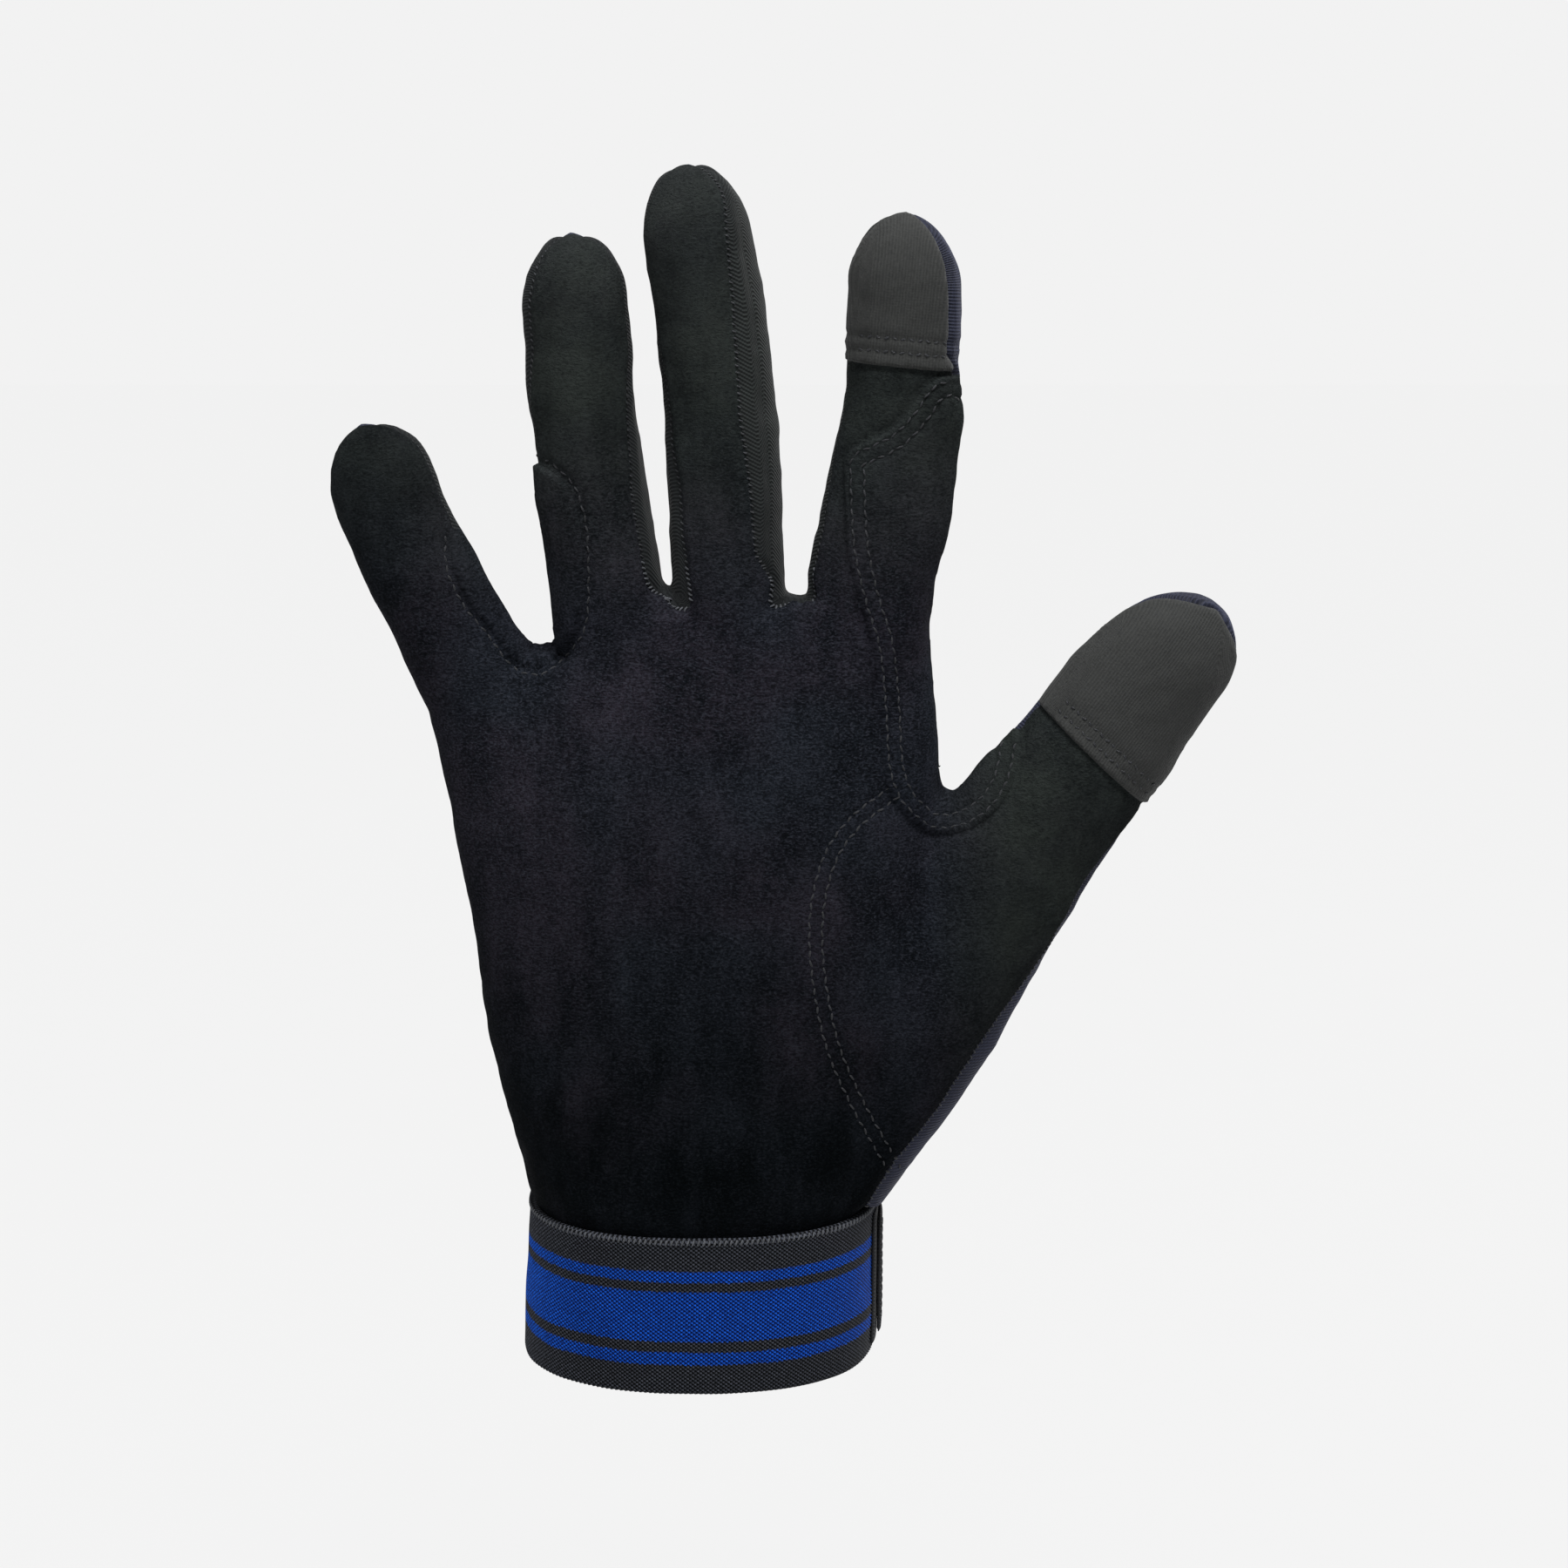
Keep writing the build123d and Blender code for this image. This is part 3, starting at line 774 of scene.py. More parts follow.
class Material:
    """A Principled material and short ways to add nodes to it."""

    def __init__(self, name, **constants):
        self.material = bpy.data.materials.new(name)
        self.material.use_nodes = True
        self.tree = self.material.node_tree
        self.shader = self.tree.nodes["Principled BSDF"]
        for socket, value in constants.items():
            self.shader.inputs[socket.replace("_", " ")].default_value = value

    def add(self, kind, inputs, output=0, **settings):
        """A node with its inputs set or linked; gives one of its outputs."""
        node = self.tree.nodes.new(kind)
        for key, value in settings.items():
            setattr(node, key, value)
        for socket, value in inputs.items():
            self.feed(node.inputs[socket], value)
        return Value(self, node.outputs[output])

    def feed(self, socket, value):
        if isinstance(value, Value):
            self.tree.links.new(value.socket, socket)
        else:
            socket.default_value = value

    def place(self, name="rest"):
        """The resting place of the surface (mm), or its place in the weave."""
        return self.add("ShaderNodeAttribute", {}, 1, attribute_name=name)

    def scaled(self, vector, *scale):
        return self.add("ShaderNodeVectorMath", {0: vector, 1: scale}, operation="MULTIPLY")

    def split(self, vector):
        """The three coordinates of a vector."""
        node = self.tree.nodes.new("ShaderNodeSeparateXYZ")
        self.feed(node.inputs[0], vector)
        return [Value(self, output) for output in node.outputs]

    def noise(self, vector, scale, detail=2.0, roughness=0.5):
        return self.add("ShaderNodeTexNoise", {"Vector": vector, "Scale": scale,
                                               "Detail": detail, "Roughness": roughness})

    def math(self, operation, a, b=0.0):
        return self.add("ShaderNodeMath", {0: a, 1: b}, operation=operation)

    def ramp(self, value, low, high, to_low=0.0, to_high=1.0):
        """Map low..high onto to_low..to_high, clamped."""
        return self.add("ShaderNodeMapRange", {0: value, 1: low, 2: high, 3: to_low, 4: to_high})

    def mix(self, share, a, b):
        """Between two colours, each a value or display colours from 0 to 255."""
        a, b = (linear(*colour) if isinstance(colour, tuple) else colour for colour in (a, b))
        return self.add("ShaderNodeMix", {0: share, 6: a, 7: b}, 2, data_type="RGBA")

    def ribs(self, value, pitch):
        """A sine wave from 0 to 1 with the given pitch."""
        return self.math("SINE", value * (2 * pi / pitch)) * 0.5 + 0.5

    def finish(self, colour, roughness, height, depth):
        """Link colour, roughness and a bump of the given depth."""
        self.feed(self.shader.inputs["Base Color"], colour)
        self.feed(self.shader.inputs["Roughness"], roughness)
        bump = self.add("ShaderNodeBump", {"Distance": depth * MM, "Height": height})
        self.feed(self.shader.inputs["Normal"], bump)
        return self.material


def suede_material():
    """Brushed synthetic suede: short sideways nap, cloudy where it was stroked.

    It is blue-black on the palm. Painted shade darkens it towards the heel and the little finger's side, and painted
    light from above makes the fingers and the thumb's side lighter and greyer.
    """
    m = Material("suede", Specular_IOR_Level=0.02, Sheen_Weight=0.01, Sheen_Roughness=0.5,
                 Sheen_Tint=linear(150, 160, 180))
    rest = m.place()
    x, _, z = m.split(rest)
    nap = m.noise(m.scaled(rest, 0.9, 0.9, 2.0), 1.0, 5.0, 0.68)
    fibre = m.noise(m.scaled(rest, 1.7, 1.7, 2.8), 1.0, 3.0, 0.72)
    cloud = m.noise(rest, 0.06, 4.0, 0.6)
    stroke = m.noise(m.scaled(rest, 0.17, 0.17, 0.06), 1.0, 4.0, 0.6)
    tone = (m.ramp(cloud, 0.35, 0.65, 0.0, 0.45) + m.ramp(stroke, 0.35, 0.65, 0.0, 0.4)
            + m.ramp(nap, 0.3, 0.7, -0.35, 0.4))
    purple = m.ramp(m.noise(rest, 0.035, 1.0), 0.42, 0.58)
    blue = m.mix(tone, (9, 12, 16), m.mix(purple, (34, 38, 45), (43, 40, 48)))
    # painted light: the lit grey of the fingers, lighter still towards the tips
    grey = m.mix(tone, (24, 27, 26), (42, 46, 44))
    grey = m.mix(m.ramp(z, 190.0, 226.0, 0.0, 0.5), grey, (48, 51, 50))
    # where light from above is painted: up the fingers and on the thumb's side
    up = m.math("MAXIMUM", m.ramp(z, 150.0, 188.0), m.ramp(x, 44.0, 60.0))
    colour = m.mix(up * m.ramp(cloud, 0.3, 0.6, 0.6, 1.0), blue, grey)
    # painted shade: darker towards the heel and the little finger's side, mottled by the strokes, less towards the
    # thumb
    low = m.math("MAXIMUM", m.ramp(z, 46.0, 122.0, 1.0, 0.0), m.ramp(x, -66.0, -34.0, 0.5, 0.0))
    low = low * m.ramp(stroke, 0.35, 0.7, 1.0, 0.72) * m.ramp(z * 0.5 + x, 50.0, 85.0, 1.0, 0.55)
    colour = m.mix(low, colour, (2, 4, 5))
    # the fibres' dark pits and pale specks: fainter where light is painted, darker in the painted shade
    grain = m.ramp(up, 0.0, 1.0, 1.0, 0.55)
    pit = grain * m.ramp(fibre, 0.5, 0.34, 0.0, 0.8)
    speck = grain * m.ramp(fibre, 0.5, 0.7, 0.0, 0.7)
    pale = m.mix(up, (52, 54, 62), (50, 55, 53))
    colour = m.mix(pit, colour, m.mix(low, (9, 10, 12), (1, 2, 3)))
    colour = m.mix(speck, colour, m.mix(low, pale, (17, 20, 23)))
    return m.finish(colour, m.ramp(nap, 0.3, 0.7, 0.8, 0.95), nap * 0.7 + fibre, 0.6)


def twill_material():
    """Fourchette twill with fine diagonal lines, with painted shade in the gaps between fingers."""
    m = Material("twill", Specular_IOR_Level=0.12, Sheen_Weight=0.05)
    s, t, _ = m.split(m.place("weave"))
    x, _, z = m.split(m.place())
    line, yarn = m.ribs(s * 0.6 + t * 0.8, 0.62), m.ribs(t * 0.6 - s * 0.8, 0.5)
    blot = m.noise(m.place(), 0.3, 2.0)
    tone = (yarn * 0.25 + line * 0.75) * m.ramp(blot, 0.2, 0.8, 0.6, 1.0)
    # painted shade: darker low in the gaps between fingers, and on the fourchettes from the middle finger's left side
    # towards the little finger
    painted_gap_shade = m.math("MAXIMUM", m.ramp(z, 150.0, 188.0, 0.75, 0.0), m.ramp(x, 2.0, 9.0, 0.6, 0.0))
    colour = m.mix(painted_gap_shade, m.mix(tone, (11, 13, 13), (45, 49, 48)), (13, 15, 18))
    return m.finish(colour, m.ramp(blot, 0.2, 0.8, 0.75, 0.9), yarn * 0.3 + line, 0.12)


def navy_material():
    """Navy stretch knit of the back, with fine cross ribs."""
    m = Material("navy_knit", Specular_IOR_Level=0.18, Sheen_Weight=0.1, Sheen_Roughness=0.4,
                 Sheen_Tint=linear(150, 160, 220))
    s, t, _ = m.split(m.place("weave"))
    course, wale = m.ribs(t, 0.62), m.ribs(t * 0.25 + s, 0.8)
    blot = m.noise(m.place(), 0.12, 3.0)
    tone = course * 0.55 + wale * 0.2 + m.ramp(blot, 0.3, 0.7, 0.0, 0.3)
    colour = m.mix(tone, (13, 14, 22), (43, 46, 62))
    return m.finish(colour, m.ramp(blot, 0.2, 0.8, 0.6, 0.8), wale * 0.4 + course, 0.14)


def patch_material():
    """Grey coated knit of the fingertip patches, with faint ribs."""
    m = Material("patch_knit", Specular_IOR_Level=0.15, Sheen_Weight=0.05)
    s, t, _ = m.split(m.place("weave"))
    rib, loop = m.ribs(s, 0.55), m.ribs(t, 0.5)
    grain = m.noise(m.scaled(m.place(), 1.0, 1.0, 1.6), 2.2, 3.0, 0.6)
    tone = rib * 0.22 + loop * 0.12 + m.ramp(grain, 0.3, 0.7, 0.1, 0.6)
    colour = m.mix(tone, (22, 23, 23), (54, 55, 54))
    return m.finish(colour, m.ramp(grain, 0.3, 0.7, 0.7, 0.85), rib * 0.5 + grain * 0.6, 0.12)


BASKET = (0.5, 0.4)  # from one crossing of the band's weave to the next, along and up
CUFF_WIDTH, CUFF_DEPTH, CUFF_HEIGHT = 70.6, 51.6, 32.0

# Where the band's stripes start and end, from its lower to its upper edge, as shares
STRIPES = [0.20, 0.28, 0.35, 0.67, 0.73, 0.80]
STRIPE_BLUR = 0.004


def elastic_material():
    """Woven elastic: two thin and one wide blue stripe on black, in a basket weave, with painted highlights on its
    raised crossings and painted shade between them.
    """
    m = Material("woven_elastic", Specular_IOR_Level=0.08, Sheen_Weight=0.02)
    s, t, _ = m.split(m.place("weave"))
    along = m.math("COSINE", s * (pi / BASKET[0]))
    lift = along * m.math("COSINE", t * (pi * CUFF_HEIGHT / BASKET[1])) * -0.5 + 0.5
    level = (m.noise(m.place(), 1.6, 1.0) - 0.5) * 0.02 + t
    steps = [m.ramp(level, place - STRIPE_BLUR, place + STRIPE_BLUR) for place in STRIPES]
    blue = steps[0] - steps[1] + steps[2] - steps[3] + steps[4] - steps[5]
    yarn = m.noise(m.place(), 2.2, 2.0, 0.6)
    # painted highlight on the raised crossings and painted shade between them, varied by the yarn's own tone
    top = m.ramp(lift, 0.4, 0.75) * m.ramp(yarn, 0.3, 0.7, 0.25, 1.0)
    colour = m.mix(blue, m.mix(top, (2, 3, 4), (72, 75, 84)), m.mix(top, (0, 14, 66), (22, 98, 222)))
    return m.finish(colour, m.ramp(yarn, 0.3, 0.7, 0.6, 0.8), yarn, 0.1)


def webbing_material():
    """Plain woven black tape."""
    m = Material("webbing", Specular_IOR_Level=0.2, Sheen_Weight=0.05)
    s, t, _ = m.split(m.place("weave"))
    cell = m.math("ABSOLUTE", m.ribs(s, 1.0) - m.ribs(t, 0.8))
    grain = m.noise(m.place(), 2.5, 2.0)
    colour = m.mix(cell * m.ramp(grain, 0.3, 0.7, 0.5, 1.0), (10, 11, 13), (44, 46, 52))
    return m.finish(colour, m.ramp(grain, 0.3, 0.7, 0.6, 0.8), cell, 0.15)


def pile_material(name, scale, depth):
    """Hook or loop tape: a dense pile."""
    m = Material(name, Specular_IOR_Level=0.12, Sheen_Weight=0.15)
    rest = m.place()
    dots = m.add("ShaderNodeTexVoronoi", {"Vector": rest, "Scale": scale})
    fuzz = m.noise(rest, scale * 1.7, 3.0, 0.7)
    height = fuzz * 0.5 - dots + 1.0
    colour = m.mix(m.ramp(height, 0.5, 1.3), (14, 15, 18), (52, 54, 60))
    return m.finish(colour, m.ramp(fuzz, 0.3, 0.7, 0.8, 0.95), height, depth)


def thread_material(name, dark, light):
    """Twisted sewing thread."""
    m = Material(name, Specular_IOR_Level=0.35, Sheen_Weight=0.05)
    s, t, _ = m.split(m.place("weave"))
    twist = m.ribs(s + t, 0.45)
    grain = m.noise(m.place(), 1.2, 1.0)
    colour = m.mix(twist * m.ramp(grain, 0.3, 0.7, 0.4, 1.0), dark, light)
    return m.finish(colour, m.ramp(grain, 0.3, 0.7, 0.45, 0.65), twist, 0.05)


SUEDE, TWILL, NAVY = suede_material(), twill_material(), navy_material()
PATCH, ELASTIC, WEBBING = patch_material(), elastic_material(), webbing_material()
HOOK = pile_material("hook_pile", 1.6, 0.4)
LOOP = pile_material("loop_pile", 0.9, 0.5)
THREAD = thread_material("thread", (10, 11, 13), (43, 45, 51))
EDGE_THREAD = thread_material("edge_thread", (16, 17, 20), (58, 61, 66))
PALE_THREAD = thread_material("pale_thread", (36, 38, 42), (98, 101, 107))


# ---- pieces

def piece(name, points, faces, rest, weave, material, normals=None):
    """A Blender object in metres, with its resting place and weave as attributes."""
    mesh = bpy.data.meshes.new(name)
    mesh.from_pydata((points * MM).tolist(), [], faces)
    for key, values in (("rest", rest), ("weave", weave)):
        attribute = mesh.attributes.new(key, "FLOAT_VECTOR", "POINT")
        attribute.data.foreach_set("vector", np.asarray(values, np.float32).ravel())
    mesh.shade_smooth()
    if normals is not None:
        mesh.normals_split_custom_set(normals.tolist())
    mesh.materials.append(material)
    return placed(name, mesh)


def open_edges(triangles):
    """Directed edges with a triangle on one side only."""
    edges = edges_of(triangles)
    _, back, count = np.unique(np.sort(edges, 1), axis=0, return_inverse=True, return_counts=True)
    return edges[count[back.ravel()] == 1]


def shell(name, triangles, outer, inner, normals, rest, weave, material):
    """A closed thin panel between an outer and an inner surface."""
    used, back = np.unique(triangles, return_inverse=True)
    faces = back.reshape(-1, 3)
    n = len(used)
    rim = open_edges(faces)
    inside = faces[:, ::-1] + n
    walls = np.stack([rim[:, 1], rim[:, 0], rim[:, 0] + n, rim[:, 1] + n], 1)
    corner = np.vstack([normals[used][faces.ravel()], -normals[used][faces[:, ::-1].ravel()],
                        np.zeros((len(walls) * 4, 3))])
    return piece(name, np.vstack([outer[used], inner[used]]),
                 faces.tolist() + inside.tolist() + walls.tolist(),
                 np.vstack([rest[used]] * 2), np.vstack([weave[used]] * 2), material, corner)


class Region:
    """A stretch of the glove that follows one CAD body, or bends between two."""

    def __init__(self, digit=None, upper=False):
        self.digit, self.upper = digit, upper
        self.name = "hand" if digit is None else f"{digit.name}_{'upper' if upper else 'lower'}"

    def hold(self, made):
        """Make a piece follow this stretch."""
        digit = self.digit
        if digit is None:
            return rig.ride(made, "palm")
        zone = digit.mid_zone if self.upper else (CUT_LOW, digit.zone_end)
        start, end = (Vector((digit.root + digit.along * v) * MM) for v in zone)
        near, far = (f"{digit.name}_{part}" for part in ("proximal", "distal"))
        near, far = (near, far) if self.upper else ("palm", near)
        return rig.blend(made, near, far, start=start, end=end)


REGIONS = [Region()] + [Region(digit, upper) for digit in DIGITS for upper in (False, True)]


def region_of(points):
    """The number of the region that each point is in."""
    which, _, v, _ = nearest_digit(points)
    number = np.zeros(len(points), int)
    for k, digit in enumerate(DIGITS):
        mine = (which == k) & (v > CUT_LOW)
        number[mine] = 1 + 2 * k
        number[mine & (v > digit.mid_zone[0])] = 2 + 2 * k
    return number


PALM, FOURCHETTE, BACK = 0, 1, 2  # the panels


def dress(made, region, replaced, slot):
    """Bind a piece to its region and say which CAD nodes and slot it stands for."""
    region.hold(made)
    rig.slot(made, slot)
    if replaced:
        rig.replaces(made, *replaced)


def panel_nodes(region, panel):
    """The CAD nodes that a panel stands for."""
    if region.digit is None:
        return [["hand_palm_panel"], ["web_fourchettes"], ["hand_back_panel"]][panel]
    part, joint = ("distal", "mid") if region.upper else ("proximal", "root")
    name = region.digit.name
    if panel == PALM:
        return [f"{name}_palm_{part}"]
    if panel == BACK:
        return [f"{name}_back_{part}", f"{name}_{joint}_gusset"]
    return [f"{name}_fourchettes_{part}"] if region.digit.fourchettes else []


# The CAD nodes of the reinforcements; a stretch on another digit is part of the hand's
OVERLAY_NODES = {("index_thumb", "hand"): ["index_thumb_reinforcement"],
                 ("index_thumb", "index_lower"): ["index_reinforcement"],
                 ("ring_little", "hand"): ["ring_little_reinforcement"],
                 ("ring_little", "ring_lower"): ["ring_reinforcement"]}


# ---- build the glove

fingers = [digit.rings(-14.0 if digit.name == "little" else -18.0) for digit in DIGITS[:4]]
tubes = [hand_rings(), thumb_rings(), *web_rings(), *fingers]
form, form_faces = remeshed([loft(rings) for rings in tubes], VOXEL)
form = relaxed(form, form_faces, 8)
flat, faces = cut_form(form, form_faces)
flat_normals = normals_of(flat, faces)
palm_field, fourchette_field = seam_fields(flat)
for field in (palm_field, fourchette_field):
    field[np.abs(field) < SNAP] = 0.0

lift = relief(flat, palm_field, fourchette_field)
surface = flat + flat_normals * lift[:, None]
surface[:, 1] += mounds(flat)
lining = flat - flat_normals * WALL
lining[:, 1] += mounds(flat)

overlay_fields = {name: overlay_field(flat, name, palm_field) for name in OVERLAYS}
patch_fields = {name: patch_field(flat, name, palm_field) for name in PATCHES}
raised = np.zeros(len(flat))
for fields, height in ((overlay_fields, OVERLAY), (patch_fields, PATCH_HEIGHT)):
    for field in fields.values():
        field[np.abs(field) < SNAP] = 0.0
        edge = 0.1 + 0.9 * np.sqrt(np.clip(field / BEVEL, 0.0, 1.0))
        raised = np.maximum(raised, np.where(field >= 0.0, height * edge, 0.0))
        press = EDGE_PRESS * bell(field + 0.6, 0.5) * (flat[:, 1] < 2.0)
        surface -= flat_normals * np.where(field < 0.0, press, 0.0)[:, None]
surface_normals = normals_of(surface, faces)
top = surface + surface_normals * raised[:, None]
top_normals = normals_of(top, faces)

centres = flat[faces].mean(1)
face_region = region_of(centres)
palm_sum = palm_field[faces].sum(1)
fourchette_sum = fourchette_field[faces].sum(1)
face_panel = np.where(palm_sum > 0, PALM, np.where(fourchette_sum > 0, FOURCHETTE, BACK))

# Weave coordinates: across and up the hand, turning into across and along each digit
which, _, along, _ = nearest_digit(flat)
weave = np.stack([flat[:, 0], flat[:, 2], np.zeros(len(flat))], 1)
for number, digit in enumerate(DIGITS):
    mine = which == number
    share = ease((along[mine] - digit.morph[0]) / 30.0)[:, None]
    way = np.stack([digit.across[[0, 2]], digit.along[[0, 2]]], 1)
    own = digit.root[[0, 2]] + (flat[mine][:, [0, 2]] - digit.root[[0, 2]]) @ way
    weave[mine, :2] += share * (own - weave[mine, :2])
    weave[mine, 1] -= flat[mine, 1] * ease((along[mine] - digit.cap) / (digit.length - digit.cap))
weave[:, 0] += flat[:, 1] * ease((np.abs(flat_normals[:, 0]) - 0.5) / 0.3)

FEWEST_FACES = 35  # a smaller scrap of a panel is left out
OVERLAY_GAP = 0.04  # between a reinforcement and the panel under it
PANEL_LOOKS = {PALM: ("palm", SUEDE, "palm_suede"), FOURCHETTE: ("fourchette", TWILL, "twill"),
               BACK: ("back", NAVY, "back_knit")}
for number, region in enumerate(REGIONS):
    for panel, (word, material, slot) in PANEL_LOOKS.items():
        mine = faces[(face_region == number) & (face_panel == panel)]
        if len(mine) < FEWEST_FACES:
            continue
        made = shell(f"{region.name}_{word}", mine, surface, lining, surface_normals,
                     flat, weave, material)
        dress(made, region, panel_nodes(region, panel), slot)
    for fields, label, material, slot in ((overlay_fields, "overlay", SUEDE, "palm_suede"),
                                          (patch_fields, "patch", PATCH, "patch_knit")):
        for name, field in fields.items():
            inside = (field[faces] >= 0.0).all(1) & (face_region == number)
            if inside.sum() < FEWEST_FACES:
                continue
            made = shell(f"{region.name}_{name}_{label}", faces[inside], top,
                         surface + surface_normals * OVERLAY_GAP, top_normals, flat, weave, material)
            patch_node = [f"{name}_tip_patch"] if label == "patch" else []
            dress(made, region, OVERLAY_NODES.get((name, region.name), patch_node), slot)


# ---- stitches

STITCH_SIDES = 6
OVERCAST_SLANT = 62.0


class Stitches:
    """Short bent threads, gathered by the region they follow."""

    def __init__(self, name, material, slot):
        self.name, self.material, self.slot = name, material, slot
        self.rows = []

    def add(self, *row):
        """Threads of one size: centres, directions, normals, length, radius and lift."""
        self.rows.append(row)

    def build(self):
        turn = np.arange(STITCH_SIDES) * 2 * pi / STITCH_SIDES
        share = np.array([-0.5, -0.3, 0.0, 0.3, 0.5])
        swell = np.array([0.45, 1.0, 1.1, 1.0, 0.45])
        rise = 1.0 - (2 * share) ** 2
        rings, n = len(share), STITCH_SIDES
        template = [[r * n + k, r * n + (k + 1) % n, (r + 1) * n + (k + 1) % n, (r + 1) * n + k]
                    for r in range(rings - 1) for k in range(n)]
        caps = [list(range(n))[::-1], [(rings - 1) * n + k for k in range(n)]]
        for number, region in enumerate(REGIONS):
            vertices, polygons, weave = [], [], []
            for centres, directions, normals, length, radius, lift in self.rows:
                mine = region_of(centres) == number
                for c, d, m in zip(centres[mine], directions[mine], normals[mine]):
                    side_way = np.cross(m, d)
                    spine = (c + np.outer(share * length, d)
                             + np.outer(rise * lift - 0.3 * radius, m))
                    around = (np.outer(np.cos(turn), side_way) + np.outer(np.sin(turn), m)) * radius
                    first = len(vertices) * rings * n
                    vertices.append((spine[:, None] + swell[:, None, None] * around[None]))
                    weave.append(np.stack([np.repeat(share * length, n), np.tile(turn / pi, rings),
                                           np.zeros(rings * n)], 1))
                    polygons += [[k + first for k in face] for face in template + caps]
            if vertices:
                points = np.array(vertices).reshape(-1, 3)
                made = piece(f"{region.name}_{self.name}", points, polygons, points,
                             np.vstack(weave), self.material)
                dress(made, region, [], self.slot)


tree = BVHTree.FromPolygons(top.tolist(), faces.tolist())


def on_surface(spots):
    """Places and normals where the sight lines through spots meet the glove."""
    places, found_normals = [], []
    for x, z in spots:
        start = Vector(CAMERA_PLACE)
        way = Vector((x, FACE_Y, z)) - start
        place, normal, _, _ = tree.ray_cast(start, way.normalized())
        if place is None or place[1] > 1.0:
            place, normal = (np.nan,) * 3, (0, -1, 0)
        places.append(place)
        found_normals.append(normal)
    return np.array(places), np.array(found_normals)


def unit(vectors):
    return vectors / np.maximum(np.linalg.norm(vectors, axis=1), 1e-9)[:, None]


def sew_row(stitches, spots, pitch, length, radius=0.2, zigzag=14.0):
    """A running row along a line seen from the viewpoint."""
    places, normals = on_surface(resample(spots, pitch))
    run = unit(np.gradient(places, axis=0))
    good = np.isfinite(run).all(1) & np.isfinite(places).all(1)
    places, normals, run = places[good], unit(normals[good]), run[good]
    sway = radians(zigzag) * np.where(np.arange(len(run)) % 2, 1.0, -1.0)[:, None]
    run = unit(run * np.cos(sway) + np.cross(normals, run) * np.sin(sway))
    stitches.add(places, run, normals, length, radius, 0.1)


def chains(edges):
    """Lines of point numbers through a set of loose edges."""
    near = {}
    for a, b in edges.tolist():
        near.setdefault(a, []).append(b)
        near.setdefault(b, []).append(a)
    starts = [k for k in near if len(near[k]) != 2] + list(near)
    lines, used = [], set()
    for start in starts:
        for following in near[start]:
            line, last, here = [start], start, following
            if frozenset((start, here)) in used:
                continue
            while here is not None:
                used.add(frozenset((last, here)))
                line.append(here)
                onward = [k for k in near[here]
                          if k != last and frozenset((k, here)) not in used]
                last, here = here, onward[0] if len(near[here]) == 2 and onward else None
            lines.append(line)
    return lines


def seam_edges(labels):
    """Edges between triangles with different labels."""
    unique, back = np.unique(np.sort(edges_of(faces), 1), axis=0, return_inverse=True)
    low = np.full(len(unique), labels.max())
    high = np.full(len(unique), labels.min())
    np.minimum.at(low, back.ravel(), np.tile(labels, 3))
    np.maximum.at(high, back.ravel(), np.tile(labels, 3))
    return unique[low != high]


def overcast(stitches, line, pitch, length, radius, lift):
    """Slanted threads over a seam."""
    places, normals = np.split(resample(np.hstack([top[line], top_normals[line]]), pitch), 2, 1)
    normals = unit(normals)
    run = unit(np.gradient(places, axis=0))
    turn = radians(OVERCAST_SLANT)
    way = unit(run * cos(turn) + np.cross(normals, run) * sin(turn))
    stitches.add(places, way, normals, length, radius, lift)


rows = Stitches("stitching", THREAD, "palm_suede")
for line in ROWS:
    sew_row(rows, line, 1.9, 1.4, 0.18)
for line in patch_rows():
    sew_row(rows, line, 1.5, 1.1, 0.2, 25.0)
rows.build()

seams = Stitches("seam_thread", EDGE_THREAD, "palm_suede")
web_seams = Stitches("web_thread", PALE_THREAD, "palm_suede")
for line in chains(seam_edges(np.where(face_panel == PALM, 0, 1))):
    if len(line) > 12:
        near_web = np.array([any(np.hypot(*(flat[k, [0, 2]] - web)) < WEB_STITCH_REACH
                                 for web in WEBS) for k in line])
        bounds = [0] + list(np.flatnonzero(np.diff(near_web)) + 1) + [len(line) - 1]
        for start, end in zip(bounds[:-1], bounds[1:]):
            if end - start > 6 and near_web[start]:
                overcast(web_seams, line[start:end + 1], 1.1, 1.5, 0.17, 0.4)
            elif end - start > 6:
                overcast(seams, line[start:end + 1], 1.3, 1.3, 0.14, 0.25)
seams.build()
web_seams.build()


# ---- cuff

LOW_SHIFT = -1.0  # the lower rim sits a little towards the little finger
TOP_PULL = 0.6  # and the upper rim is pulled in
OUTLINE_STEP = 0.1

x, y = oval(CUFF_WIDTH / 2, CUFF_DEPTH / 2, CUFF_POWER)
# The cuff's section as seen from above, from the middle of the palm side to +X
outline = curve(np.roll(np.stack([x, y], 1), SECTION_POINTS // 4, axis=0), OUTLINE_STEP, True)
outline_length = OUTLINE_STEP * (len(outline) - 1)
tangent = unit(np.gradient(outline, axis=0))
outward = np.stack([tangent[:, 1], -tangent[:, 0]], 1)


def around_cuff(s, z, out):
    """A place on the cuff: s along its outline, z up, out from its outer surface."""
    at = (s % outline_length) / outline_length * (len(outline) - 1)
    k = np.arange(len(outline))
    x, y, nx, ny = (np.interp(at, k, column) for column in (*outline.T, *outward.T))
    up = z / CUFF_HEIGHT
    shrink = -TOP_PULL * ease(up * 1.3 - 0.2)
    shift = LOW_SHIFT * (1.0 - up)
    return np.stack([x + nx * (out + shrink) + shift, y + ny * (out + shrink), z], -1)


def where_on_cuff(test):
    """First and last place along the outline where test(x, y) holds."""
    places = np.flatnonzero(test(outline[:, 0], outline[:, 1]))
    return places[0] * OUTLINE_STEP, places[-1] * OUTLINE_STEP


ROUNDED = 0.8  # how far in from its edges a strip gets thinner


